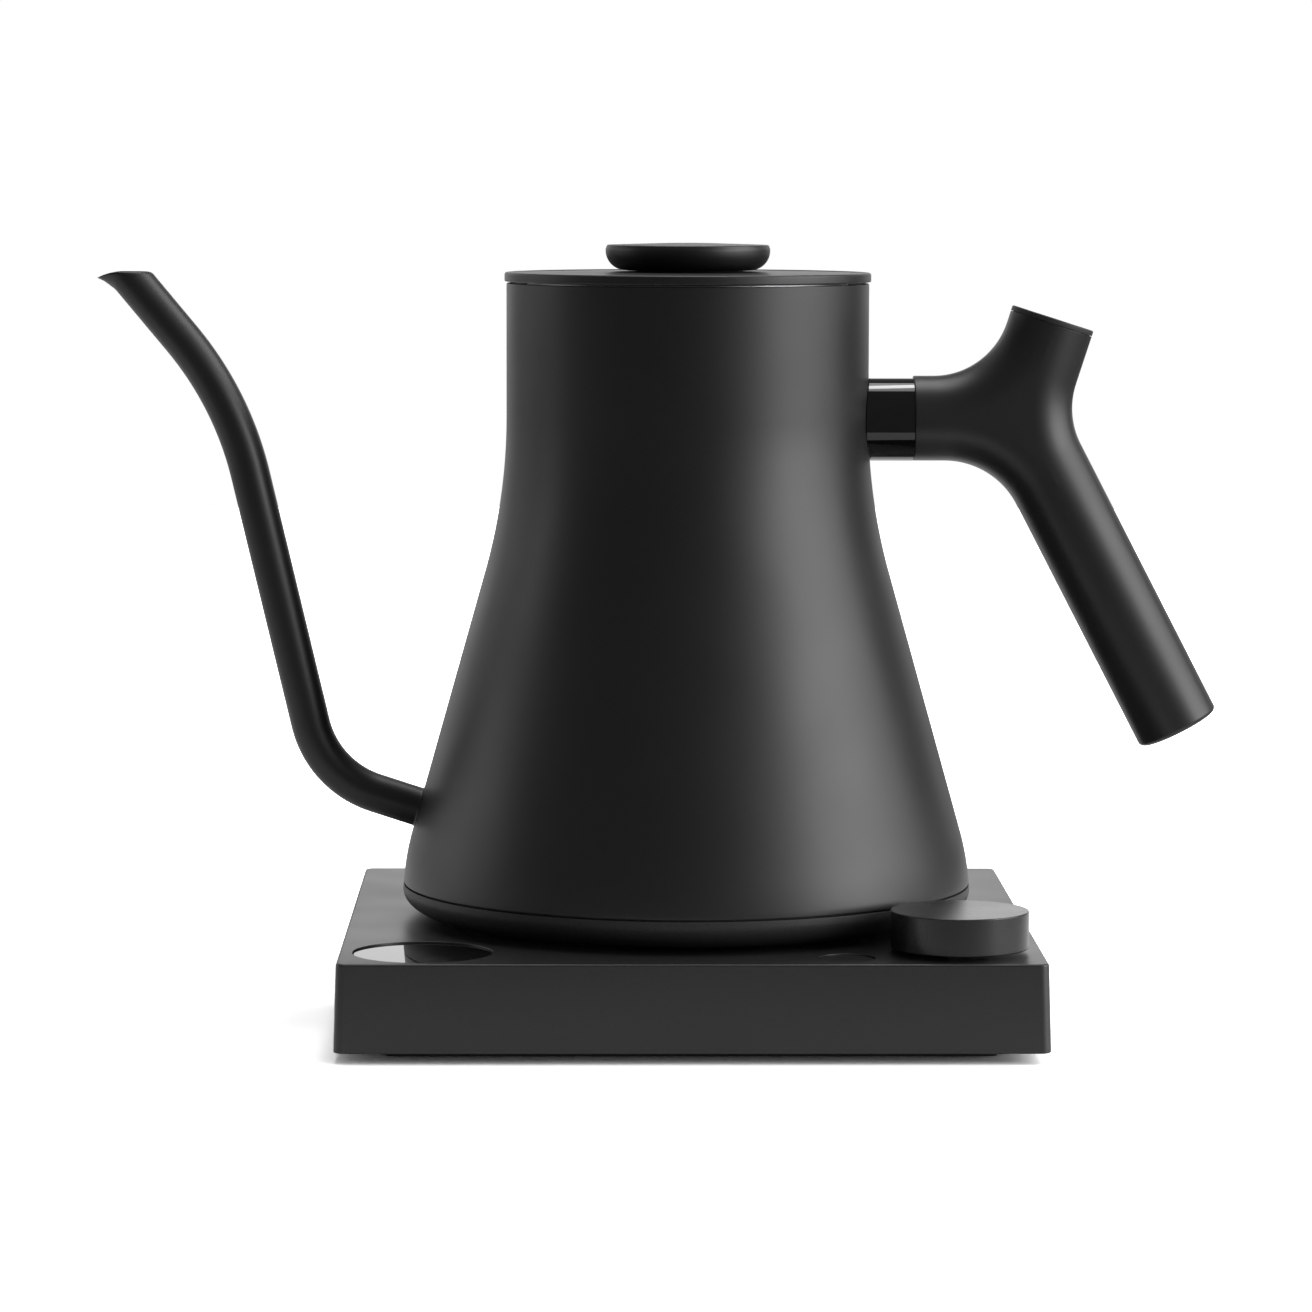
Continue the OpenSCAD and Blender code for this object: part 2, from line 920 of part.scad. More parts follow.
module thermal_cutout() {
    color(part_white)
        kettle_place()
            union() {
                disc(cutout_at, 6, diffuser_under - 5, diffuser_under);
                for (s = [-1, 1])
                    block([cutout_at[0] + s * 4, cutout_at[1]], [0.8, 5], diffuser_under - 9, diffuser_under - 5 + eps);
            }
}

module element_leads() {
    color([0.75, 0.2, 0.15])
        kettle_place()
            for (s = [-1, 1])
                rotate([0, 0, 90 + s * (element_gap_angle / 2 + 3)])
                    difference() {
                        union() {
                            disc([element_ring, 0], 2.6, cover_z + 5.3, cover_z + 9);
                            translate([plug_r + 2, 0, cover_z + 7])
                                rotate([0, 90, 0])
                                    cylinder(r = 1.3, h = element_ring - plug_r - 3);
                        }
                        disc([element_ring, 0], 1.65, cover_z + 4, cover_z + 10);
                    }
}

module floor_studs() {
    color(bare_steel)
        kettle_place()
            for (a = stud_angles)
                difference() {
                    disc(stud_ring * heading(a), stud_r, stud_foot, floor_under);
                    disc(stud_ring * heading(a), pilot_r, stud_foot - 1, floor_under - 1);
                }
}

// The bottom cover's half section, drawn a distance t inside its outer face
module cover_section(t) {
    top = seam_z - seam_gap;
    intersection() {
        polygon(concat(
            [[0, cover_z + t], [0, top + 1], [widest_r - t, top + 1]],
            [for (a = [0:10:90])
                [cover_flat_r + (widest_r - cover_flat_r - t) * cos(a),
                 cover_curve_z - (cover_curve_z - cover_z - t) * sin(a)]]));
        square([widest_r + 1, top + (t > 0 ? 1 : 0)]);
    }
}

module bottom_cover() {
    color(plastic_black)
        kettle_place()
            difference() {
                union() {
                    rotate_extrude()
                        difference() {
                            cover_section(0);
                            cover_section(cover_t);
                        }
                    tube([0, 0], cover_hole_r, cover_hole_r + 2, cover_z, cover_z + 5);
                    for (a = stud_angles)
                        disc(stud_ring * heading(a), 4.2, cover_z + 1, stud_foot);
                }
                disc([0, 0], cover_hole_r, cover_z - 1, cover_z + 6);
                for (a = stud_angles) {
                    disc(stud_ring * heading(a), hole_r, cover_z - 1, stud_foot + 1);
                    disc(stud_ring * heading(a), head_r + 0.3, cover_z - 1, cover_z + head_h + 0.6);
                }
                for (a = stud_angles)
                    disc(54 * heading(a + 60), 5.1, cover_z - 1, cover_z + 0.8);
            }
}

module bottom_seal() {
    color(silicone)
        kettle_place()
            tube([0, 0], widest_r - 3.4, widest_r - 0.9, seam_z - seam_gap, seam_z);
}

module bottom_screws() {
    color(bright_zinc)
        kettle_place()
            for (a = stud_angles)
                screw_up(stud_ring * heading(a), cover_z + 0.6, floor_under - 3);
}

module kettle_feet() {
    color(rubber_black)
        kettle_place()
            for (a = stud_angles)
                disc(54 * heading(a + 60), 5, kettle_foot_z, cover_z + 0.8);
}

// ---------- Handle ----------

module handle_neck() {
    color(gloss_black)
        kettle_place()
            difference() {
                in_xz()
                    rod([neck_r - 3, neck_z], 0, grip_start - neck_r + 3, handle_neck_r);
                in_xz()
                    rod([neck_r - 4, neck_z], 0, 40, tang_r + socket_gap);
                body_solid(0);
            }
}

module handle_tang() {
    color(bare_steel)
        kettle_place()
            difference() {
                in_xz()
                    rod([neck_r - 2, neck_z], 0, tang_end - neck_r + 2, tang_r);
                in_xz()
                    rod(joint_at - 12 * heading(stub_angle), stub_angle, 24, pilot_r + 0.5);
                body_solid(0);
            }
}

// The grip's long branch ends in a small rounded edge
module grip_branch(angle, len, edge) {
    translate([joint_at[0], joint_at[1], 0])
        rotate([0, 0, angle])
            rotate([0, 90, 0])
                rotate_extrude() {
                    square([grip_r, len - edge]);
                    square([grip_r - edge, len]);
                    translate([grip_r - edge, len - edge])
                        circle(edge, $fn = 32);
                }
}

// The centre of the round blend between two branches
function blend_centre(b) = joint_at
    + (b[2] + grip_r) / sin(abs(b[1] - b[0]) / 2) * heading((b[0] + b[1]) / 2);

module grip_blend(b) {
    centre = blend_centre(b);
    span = 180 - abs(b[1] - b[0]);
    radius = b[2] + grip_r;
    middle = (b[0] + b[1]) / 2 + 180;
    reach = radius / tan(abs(b[1] - b[0]) / 2);
    bend(centre, radius, middle - span / 2, span, grip_r - 0.04);
    translate([0, 0, 0.08 - grip_r])
        linear_extrude(2 * (grip_r - 0.08))
            difference() {
                polygon([joint_at, joint_at + reach * heading(b[0]), centre,
                    joint_at + reach * heading(b[1])]);
                translate(centre)
                    circle(radius, $fn = 180);
            }
}

module grip() {
    color(plastic_black)
        kettle_place()
            in_xz()
                difference() {
                    union() {
                        rod([grip_start, joint_z], 0, joint_x - grip_start, grip_r);
                        rod(joint_at, stub_angle, stub_len - cap_t - cap_seam, grip_r);
                        grip_branch(-handle_angle, handle_len, 1.3);
                        for (b = neck_blends)
                            grip_blend(b);
                    }
                    rod([grip_start - 1, neck_z], 0, tang_end + 1 - grip_start, tang_r + socket_gap);
                    rod(joint_at + stub_bore_from * heading(stub_angle), stub_angle, 40, stub_bore_r);
                    rod(joint_at - 3 * heading(stub_angle), stub_angle, 20, 2.2);
                    rod(joint_at + weight_from * heading(-handle_angle), -handle_angle,
                        weight_to - weight_from, weight_r);
                }
}

module handle_weight() {
    color(bright_zinc)
        kettle_place()
            in_xz()
                rod(joint_at + (weight_from + 0.1) * heading(-handle_angle), -handle_angle,
                    weight_to - weight_from - 0.2, weight_r - 0.05);
}

module handle_screw() {
    color(bright_zinc)
        kettle_place()
            in_xz() {
                rod(joint_at - 4 * heading(stub_angle), stub_angle, stub_bore_from + 4 + 1, 1.9);
                rod(joint_at + stub_bore_from * heading(stub_angle), stub_angle, 3, 4.2);
            }
}

module grip_cap() {
    end = joint_at + (stub_len - cap_t) * heading(stub_angle);
    color(plastic_black)
        kettle_place()
            in_xz()
                difference() {
                    union() {
                        rod(end, stub_angle, cap_t, grip_r);
                        rod(end - 6 * heading(stub_angle), stub_angle, 6 + eps, stub_bore_r - 0.1);
                    }
                    rod(end + (cap_t - 0.6) * heading(stub_angle), stub_angle, 2, 9);
                    rod(end - 7 * heading(stub_angle), stub_angle, 6, 5);
                }
}

module cap_disc() {
    end = joint_at + (stub_len - 0.6) * heading(stub_angle);
    color(gloss_black)
        kettle_place()
            in_xz()
                rod(end, stub_angle, 0.5, 8.9);
}

// ---------- Lid ----------

module lid_plate() {
    edge = 0.5;
    color(powder_black)
        lid_place()
            rotate_extrude()
                difference() {
                    union() {
                        translate([0, lid_z])
                            square([lid_r, lid_band - edge]);
                        translate([0, lid_z])
                            square([lid_r - edge, lid_band]);
                        translate([lid_r - edge, lid_edge_z - edge])
                            circle(edge, $fn = 32);
                        polygon([[0, lid_edge_z - eps], [lid_r - edge, lid_edge_z - eps],
                            [15, lid_top], [0, lid_top]]);
                    }
                    translate([0, lid_z - 1])
                        square([lid_r - 1.3, 1 + lid_band - lid_skin]);
                    translate([-1, 0])
                        square([1 + 2.2, 300]);
                }
}

module lid_skirt() {
    flange_top = lid_z + lid_band - lid_skin;
    color(bare_steel)
        lid_place()
            difference() {
                union() {
                    disc([0, 0], lid_r - 1.35, lid_z + 0.1, flange_top);
                    disc([0, 0], skirt_r, skirt_z, lid_z + 0.1 + eps);
                }
                disc([0, 0], skirt_r - steel, skirt_z + steel, lid_z - 0.5);
                disc([0, 0], 2.2, lid_z - 2, flange_top + 1);
            }
}

module lid_gasket() {
    z = skirt_z + 5;
    outer = neck_r - steel - 0.37;
    color(silicone)
        lid_place()
            rotate_extrude()
                union() {
                    translate([skirt_r + 0.05, z])
                        square([1.6, 4]);
                    translate([skirt_r + 0.05, z + 1.4])
                        square([outer - skirt_r - 0.65, 1.2]);
                    translate([outer - 0.6, z + 2])
                        circle(0.6, $fn = 32);
                }
}

module lid_knob() {
    edge = 0.5;
    color(powder_black)
        lid_place()
            difference() {
                rotate_extrude()
                    union() {
                        translate([0, knob_z])
                            square([knob_r - knob_round, knob_h - edge]);
                        translate([0, knob_z + knob_round])
                            square([knob_r, knob_h - knob_round - 2 * edge]);
                        intersection() {
                            translate([knob_r - knob_round, knob_z + knob_round])
                                circle(knob_round, $fn = 180);
                            square([knob_r + 1, knob_top - 2 * edge]);
                        }
                        translate([0, knob_top - 2 * edge - eps])
                            square([knob_r - edge, edge + eps]);
                        translate([knob_r - edge, knob_top - 2 * edge])
                            circle(edge, $fn = 32);
                        polygon([[0, knob_top - edge - eps], [knob_r - edge, knob_top - edge - eps],
                            [6, knob_top], [0, knob_top]]);
                    }
                disc([0, 0], 2.05, knob_z - 1, knob_top - 1.5);
            }
}

module knob_washer() {
    color(rubber_black)
        lid_place()
            tube([0, 0], 2.2, 13, lid_top, knob_z);
}

module lid_screw() {
    head_z = lid_z - 0.5 - head_h;
    color(bright_zinc)
        lid_place()
            difference() {
                union() {
                    disc([0, 0], 4, head_z, head_z + head_h);
                    disc([0, 0], 2, head_z, knob_top - 2);
                }
                disc([0, 0], 1.3, head_z - 1, head_z + 0.8, $fn = 6);
            }
}

base_housing();
base_plate();
foot_ring();
housing_screws();
display_lens();
display_frame();
display_panel();
ui_board();
encoder_body();
encoder_nut();
button_switch();
main_board();
power_relay();
transformer();
film_capacitor();
smoothing_capacitors();
mains_fuse();
buzzer();
terminal_block();
board_screws();
socket_housing();
socket_contacts();
socket_screws();
cord_gland();
cord_clamp();
encoder_plunger();
dial_knob();
encoder_shaft();
power_button();
plug_housing();
plug_rings();
plug_pin();
body_shell();
spout();
kettle_floor();
diffuser_plate();
heating_element();
temperature_probe();
probe_seal();
thermal_cutout();
element_leads();
floor_studs();
bottom_cover();
bottom_seal();
bottom_screws();
kettle_feet();
handle_neck();
handle_tang();
grip();
grip_cap();
cap_disc();
handle_screw();
handle_weight();
lid_plate();
lid_skirt();
lid_gasket();
lid_knob();
knob_washer();
lid_screw();
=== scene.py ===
"""Looks of a gooseneck electric kettle and its square base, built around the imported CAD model.

Lengths in this script are millimetres, and Shape turns them into Blender's metres.
+X runs to the handle, -X to the spout, -Y to the side with the controls, +Z is up.
"""
import sys
import json
from math import acos, asin, atan2, cos, hypot, pi, radians, sin, sqrt, tan

import bmesh
import bpy
from mathutils import Matrix, Vector
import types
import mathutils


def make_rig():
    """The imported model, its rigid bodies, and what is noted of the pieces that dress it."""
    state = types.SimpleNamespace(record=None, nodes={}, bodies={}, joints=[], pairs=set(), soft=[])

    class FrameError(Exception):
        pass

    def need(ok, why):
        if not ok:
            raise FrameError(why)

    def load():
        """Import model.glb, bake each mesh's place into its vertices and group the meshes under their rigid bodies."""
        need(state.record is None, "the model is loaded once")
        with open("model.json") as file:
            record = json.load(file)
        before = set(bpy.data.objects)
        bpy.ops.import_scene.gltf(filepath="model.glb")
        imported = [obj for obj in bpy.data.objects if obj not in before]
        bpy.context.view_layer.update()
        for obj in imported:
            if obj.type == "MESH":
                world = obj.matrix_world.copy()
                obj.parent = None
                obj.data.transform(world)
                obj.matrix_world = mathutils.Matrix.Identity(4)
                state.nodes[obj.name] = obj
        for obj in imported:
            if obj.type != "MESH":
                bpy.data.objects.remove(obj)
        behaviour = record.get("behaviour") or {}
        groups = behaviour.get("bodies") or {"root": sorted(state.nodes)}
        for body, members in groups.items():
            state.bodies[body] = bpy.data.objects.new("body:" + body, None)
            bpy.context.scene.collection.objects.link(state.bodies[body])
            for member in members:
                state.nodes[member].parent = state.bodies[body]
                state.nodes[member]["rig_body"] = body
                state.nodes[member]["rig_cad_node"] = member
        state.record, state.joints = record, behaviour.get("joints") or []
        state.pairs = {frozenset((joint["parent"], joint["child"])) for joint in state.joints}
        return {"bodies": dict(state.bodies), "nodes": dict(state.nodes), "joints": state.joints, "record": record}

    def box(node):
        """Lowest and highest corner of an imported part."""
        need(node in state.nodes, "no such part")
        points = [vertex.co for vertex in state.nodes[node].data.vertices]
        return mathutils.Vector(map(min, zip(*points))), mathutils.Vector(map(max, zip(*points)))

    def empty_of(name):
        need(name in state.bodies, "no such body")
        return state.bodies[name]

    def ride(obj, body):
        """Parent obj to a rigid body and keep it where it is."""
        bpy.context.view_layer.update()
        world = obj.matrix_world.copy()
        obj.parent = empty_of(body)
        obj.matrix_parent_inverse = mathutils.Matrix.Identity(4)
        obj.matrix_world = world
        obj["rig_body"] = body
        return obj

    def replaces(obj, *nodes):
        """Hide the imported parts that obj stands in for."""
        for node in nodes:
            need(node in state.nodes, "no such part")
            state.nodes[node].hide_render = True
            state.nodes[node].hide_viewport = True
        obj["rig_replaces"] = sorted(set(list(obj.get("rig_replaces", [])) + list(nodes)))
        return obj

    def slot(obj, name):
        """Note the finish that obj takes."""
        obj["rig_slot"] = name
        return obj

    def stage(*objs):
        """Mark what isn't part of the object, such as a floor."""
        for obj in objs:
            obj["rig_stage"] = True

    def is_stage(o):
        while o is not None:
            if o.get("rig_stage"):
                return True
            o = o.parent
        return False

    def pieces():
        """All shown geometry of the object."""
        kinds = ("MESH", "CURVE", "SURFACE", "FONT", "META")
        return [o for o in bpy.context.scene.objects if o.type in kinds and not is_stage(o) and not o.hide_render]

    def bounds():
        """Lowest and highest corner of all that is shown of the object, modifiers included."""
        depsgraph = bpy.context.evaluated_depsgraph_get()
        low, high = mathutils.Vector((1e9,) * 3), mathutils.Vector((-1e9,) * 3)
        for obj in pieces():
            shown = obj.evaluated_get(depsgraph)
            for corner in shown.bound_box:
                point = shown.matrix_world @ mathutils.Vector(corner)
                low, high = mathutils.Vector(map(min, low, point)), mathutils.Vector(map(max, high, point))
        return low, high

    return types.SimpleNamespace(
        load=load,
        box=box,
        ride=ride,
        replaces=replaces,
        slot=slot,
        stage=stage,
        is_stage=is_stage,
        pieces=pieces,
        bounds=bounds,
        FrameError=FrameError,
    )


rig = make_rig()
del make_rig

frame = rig.load()
cad_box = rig.bounds()

MM = 0.001
RECORD = frame["record"]
SLOT_OF = {row["node"]: row["material_slot"] for row in RECORD["subparts"]}
BODY_OF = {node: body for body, nodes in RECORD["behaviour"]["bodies"].items() for node in nodes}


def low(node):
    """The lowest corner of a CAD node, in millimetres."""
    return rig.box(node)[0] / MM


def high(node):
    """The highest corner of a CAD node, in millimetres."""
    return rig.box(node)[1] / MM


def middle(node):
    """The centre of a CAD node's box, in millimetres."""
    return (low(node) + high(node)) / 2


# ---------- Sizes: boxes come from the frame, and curves repeat the CAD model's ----------

# Base
BASE_TOP = high("base_housing").z
BASE_GAP = low("base_housing").z
HALF_FOOT = high("base_housing").x
BASE_DRAFT = 0.6
HALF_TOP = HALF_FOOT - BASE_DRAFT
BASE_CORNER = 2.3
BASE_EDGE = 0.6
BASE_FOOT_EDGE = 0.4
BASE_FOOT_DROP = 0.35
BASE_WALL = 2.2
SOCKET_HOLE = 16.3
BUSHING_HOLE = 4.6

# Kettle body: a straight neck, a concave flare, a cone and a convex foot, each tangent to the next
NECK_R = high("lid_plate").x - 0.5
BODY_TOP = high("body_shell").z
SEAM_Z = low("body_shell").z
STEEL = 1.0
FLARE_Z = 153.0
FLARE_R = 147.0
CONE = radians(15.68)
FOOT_R = 62.0
WIDEST_Z = 29.2
FLARE_END = (NECK_R + FLARE_R * (1 - cos(CONE)), FLARE_Z - FLARE_R * sin(CONE))
FOOT_START_Z = WIDEST_Z + FOOT_R * sin(CONE)
FOOT_CENTRE = FLARE_END[0] + tan(CONE) * (FLARE_END[1] - FOOT_START_Z) - FOOT_R * cos(CONE)
WIDEST_R = FOOT_CENTRE + FOOT_R

# Lid: the plug's radius, and the hole for the screw that holds plate, washer and plug to the knob
PLUG_R = 41.0
LID_HOLE = 2.2

# Spout
SPOUT_R = high("spout").y
SPOUT_WALL = 0.8
TAIL_HEADING = radians(162)
RISER_HEADING = radians(103.3)
TIP_HEADING = radians(129.7)
FOOT_BEND = 25.0
TIP_BEND = 85.0
FOOT_CORNER = Vector((-93.6, 60.15))
RISER_LEN = 99.9
MOUTH_Z = high("spout").z
LIP_X = low("spout").x
LIP_DROP = 1.6
LIP_LEN = 6.1
WELD = 0.5

# Grip
GRIP_R = high("grip").y
GRIP_START = low("grip").x
JOINT = Vector((85.35, 152.65))
STUB_HEADING = radians(72.2)
HANDLE_HEADING = radians(-62.5)
STUB_LEN = 27.0
HANDLE_LEN = 90.0
CAP_T = 1.4
CAP_SEAM = 0.1

TURN_STEPS = 192
TUBE_STEPS = 64


# ---------- Meshes ----------

def heading(angle):
    """The direction in the plane of symmetry at an angle from +X towards +Z."""
    return Vector((cos(angle), sin(angle)))


def arc(centre, radius, start, end, steps):
    """Points of an arc about a centre, from one angle to another."""
    return [Vector(centre) + radius * heading(start + (end - start) * k / steps) for k in range(steps + 1)]


def rounded(corners, steps=6):
    """A closed outline through (x, z, radius) corners, each corner with a radius drawn as an arc."""
    points = []
    for k, (x, z, radius) in enumerate(corners):
        corner = Vector((x, z))
        if radius == 0:
            points.append(corner)
            continue
        back = (Vector(corners[k - 1][:2]) - corner).normalized()
        ahead = (Vector(corners[(k + 1) % len(corners)][:2]) - corner).normalized()
        half = back.angle(ahead) / 2
        centre = corner + (back + ahead).normalized() * radius / sin(half)
        first = corner + back * radius / tan(half) - centre
        last = corner + ahead * radius / tan(half) - centre
        start = atan2(first.y, first.x)
        turn = (atan2(last.y, last.x) - start + pi) % (2 * pi) - pi
        points += arc(centre, radius, start, start + turn, steps)
    return points


def circle(at, radius, z, steps=TURN_STEPS):
    """A level ring of points about (x, y)."""
    return [
        Vector((at[0] + radius * cos(a), at[1] + radius * sin(a), z))
        for a in (2 * pi * k / steps for k in range(steps))
    ]


def square_ring(half, corner, z, steps=8):
    """A level rounded square of points about the origin."""
    inset = half - corner
    return [
        Vector((p.x, p.y, z))
        for quarter, (sx, sy) in enumerate([(1, 1), (-1, 1), (-1, -1), (1, -1)])
        for p in arc((sx * inset, sy * inset), corner, quarter * pi / 2, (quarter + 1) * pi / 2, steps)
    ]


class Shape:
    """A mesh in the making: rings of points, joined by strips and flat faces."""

    def __init__(self):
        self.bm = bmesh.new()

    def ring(self, points):
        return [self.bm.verts.new(Vector(p) * MM) for p in points]

    def strip(self, a, b, material=0, closed=True):
        """Faces between two rings of as many points."""
        for k in range(len(a) if closed else len(a) - 1):
            n = (k + 1) % len(a)
            self.bm.faces.new((a[k], a[n], b[n], b[k])).material_index = material

    def skin(self, rings, material=0, closed=True, loop=False):
        """Strips from each ring to the next, and back to the first for a loop. Returns the rings' points."""
        made = [self.ring(r) for r in rings]
        for a, b in zip(made, made[1:]):
            self.strip(a, b, material, closed)
        if loop:
            self.strip(made[-1], made[0], material, closed)
        return made

    def flat(self, *rings, material=0):
        """One flat face inside the first ring, with the others as its holes."""
        edges = []
        for ring in rings:
            for k, v in enumerate(ring):
                n = ring[(k + 1) % len(ring)]
                edges.append(self.bm.edges.get((v, n)) or self.bm.edges.new((v, n)))
        made = bmesh.ops.triangle_fill(self.bm, use_beauty=True, use_dissolve=False, edges=edges)
        for part in made["geom"]:
            if isinstance(part, bmesh.types.BMFace):
                part.material_index = material

    def turn(self, outline, at=(0, 0), material=0, loop=True, steps=TURN_STEPS):
        """An outline of (radius, height) points turned about the upright line through (x, y)."""
        self.skin([circle(at, p[0], p[1], steps) for p in outline], material, loop=loop)

    def weld(self):
        """Joins points that lie on each other, and drops the faces that this flattens."""
        bmesh.ops.remove_doubles(self.bm, verts=self.bm.verts, dist=1e-3 * MM)
        bmesh.ops.dissolve_degenerate(self.bm, dist=1e-3 * MM, edges=self.bm.edges)

    def close(self):
        """Fills every opening that is left with a flat face."""
        self.weld()
        rims = [e for e in self.bm.edges if len(e.link_faces) == 1]
        made = bmesh.ops.holes_fill(self.bm, edges=rims, sides=0)
        bmesh.ops.triangulate(self.bm, faces=made["faces"])

    def piece(self, name, node, matrix=Matrix(), finishes=(), crease=32):
        """Makes the object that stands for a CAD node: its body, its slot, and its slot's finish or others."""
        self.weld()
        bmesh.ops.recalc_face_normals(self.bm, faces=self.bm.faces)
        for edge in self.bm.edges:
            edge.smooth = len(edge.link_faces) == 2 and edge.calc_face_angle() < radians(crease)
        for face in self.bm.faces:
            face.smooth = True
        mesh = bpy.data.meshes.new(name)
        self.bm.to_mesh(mesh)
        self.bm.free()
        mesh.transform(matrix)
        obj = bpy.data.objects.new(name, mesh)
        bpy.context.scene.collection.objects.link(obj)
        for finish in finishes or [SLOT_OF[node]]:
            mesh.materials.append(material_of(finish))
        obj.modifiers.new("even_normals", "WEIGHTED_NORMAL").keep_sharp = True
        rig.ride(obj, BODY_OF[node])
        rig.slot(obj, SLOT_OF[node])
        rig.replaces(obj, node)
        return obj


# ---------- Materials ----------

class Nodes:
    """A material's nodes around one Principled shader, with textures placed in metres on the object."""

    def __init__(self, name, colour, roughness, metallic=0.0):
        self.material = bpy.data.materials.new(name)
        self.material.use_nodes = True
        self.tree = self.material.node_tree
        self.shader = self.tree.nodes["Principled BSDF"]
        self.set("Base Color", (*colour, 1))
        self.set("Roughness", roughness)
        self.set("Metallic", metallic)
        self.place = self.add("ShaderNodeTexCoord").outputs["Object"]

    def add(self, kind, **inputs):
        node = self.tree.nodes.new(kind)
        for key, value in inputs.items():
            self.feed(node.inputs[key.replace("_", " ")], value)
        return node

    def feed(self, socket, value):
        if isinstance(value, bpy.types.NodeSocket):
            self.tree.links.new(value, socket)
        else:
            socket.default_value = value

    def set(self, socket, value):
        self.feed(self.shader.inputs[socket], value)

    def noise(self, size, detail=2.0, place=None):
        """Noise whose features are about a size, in millimetres."""
        scale = 1 / (size * MM)
        node = self.add("ShaderNodeTexNoise", Vector=place or self.place, Scale=scale, Detail=detail)
        return node.outputs["Fac"]

    def vary(self, factor, low_value, high_value):
        """A number that runs between two values as a factor runs over the middle of its range."""
        node = self.add("ShaderNodeMapRange", Value=factor)
        span = {"From Min": 0.3, "From Max": 0.7, "To Min": low_value, "To Max": high_value}
        for key, value in span.items():
            node.inputs[key].default_value = value
        return node.outputs["Result"]

    def blend(self, factor, a, b):
        """A colour between two."""
        node = self.tree.nodes.new("ShaderNodeMix")
        node.data_type = "RGBA"
        for socket, value in zip([node.inputs[0], node.inputs[6], node.inputs[7]], [factor, a, b]):
            self.feed(socket, value if isinstance(value, bpy.types.NodeSocket) else (*value, 1))
        return node.outputs[2]

    def bump(self, height, depth):
        """Raises the surface by up to a depth in millimetres, as a height runs from 0 to 1."""
        node = self.add("ShaderNodeBump", Height=height, Strength=1.0, Distance=depth * MM)
        self.set("Normal", node.outputs["Normal"])


def grained(name, colour, lighter, roughness, grain, depth, patches=25.0, specular=0.5):
    """A matte finish: fine grain in relief, with a little drift of roughness over larger patches."""
    nodes = Nodes(name, colour, roughness)
    fine = nodes.noise(grain, 3)
    drift = nodes.noise(patches, 1)
    nodes.set("Base Color", nodes.blend(nodes.vary(fine, 0, 1), colour, lighter))
    nodes.set("Roughness", nodes.vary(drift, roughness - 0.02, roughness + 0.02))
    nodes.set("Specular IOR Level", specular)
    nodes.bump(fine, depth)
    return nodes


def powder_black():
    return grained("powder_black", (0.004, 0.004, 0.004), (0.007, 0.007, 0.007), 0.42, 0.32, 0.012).material


def base_black():
    """The coat of the base and its button, lighter and smoother than the kettle's."""
    return grained("base_black", (0.012, 0.012, 0.012), (0.017, 0.017, 0.017), 0.36, 0.32, 0.01).material


def dial_black():
    """The dial is smoother still, so that its top catches more of the light from behind."""
    return grained("dial_black", (0.013, 0.013, 0.013), (0.018, 0.018, 0.018), 0.28, 0.32, 0.006).material


def black_plastic():
    colours = (0.02, 0.02, 0.02), (0.03, 0.03, 0.03)
    return grained("black_plastic", *colours, 0.5, 0.5, 0.01, specular=0.35).material


def soft_grip():
    colours = (0.009, 0.009, 0.009), (0.014, 0.014, 0.014)
    return grained("soft_grip", *colours, 0.4, 0.25, 0.006, specular=0.45).material


def rubber():
    return grained("rubber", (0.013, 0.013, 0.013), (0.02, 0.02, 0.02), 0.75, 0.8, 0.02).material


def silicone():
    return grained("silicone", (0.4, 0.41, 0.42), (0.5, 0.51, 0.52), 0.6, 1.0, 0.01).material


def white_parts():
    return grained("white_parts", (0.72, 0.72, 0.7), (0.82, 0.82, 0.8), 0.5, 0.8, 0.01).material


def relay_blue():
    return grained("relay_blue", (0.04, 0.13, 0.4), (0.06, 0.18, 0.48), 0.45, 0.8, 0.01).material


def capacitor_yellow():
    return grained("capacitor_yellow", (0.62, 0.46, 0.1), (0.74, 0.58, 0.16), 0.5, 0.6, 0.02).material


def lead_sleeve():
    return grained("lead_sleeve", (0.45, 0.05, 0.03), (0.6, 0.09, 0.05), 0.65, 0.5, 0.02).material


def glossy(name, colour, lighter, roughness):
    """A polished finish with a faint orange peel."""
    nodes = Nodes(name, colour, roughness)
    peel = nodes.noise(4, 1)
    nodes.set("Base Color", nodes.blend(nodes.vary(peel, 0, 1), colour, lighter))
    nodes.bump(peel, 0.002)
    return nodes


def gloss_black():
    return glossy("gloss_black", (0.003, 0.003, 0.003), (0.004, 0.004, 0.004), 0.03).material


def display_glass():
    return glossy("display_glass", (0.008, 0.008, 0.008), (0.009, 0.009, 0.009), 0.02).material


def capacitor_sleeve():
    return glossy("capacitor_sleeve", (0.02, 0.02, 0.12), (0.03, 0.03, 0.16), 0.25).material


def circuit_board():
    """Green lacquer over copper traces."""
    nodes = Nodes("circuit_board", (0.02, 0.16, 0.07), 0.35)
    bricks = nodes.add("ShaderNodeTexBrick", Vector=nodes.place, Scale=1 / (6 * MM), Mortar_Size=0.06)
    nodes.set("Base Color", nodes.blend(bricks.outputs["Fac"], (0.02, 0.16, 0.07), (0.05, 0.26, 0.12)))
    nodes.bump(bricks.outputs["Fac"], 0.03)
    nodes.set("Coat Weight", 0.5)
    return nodes.material


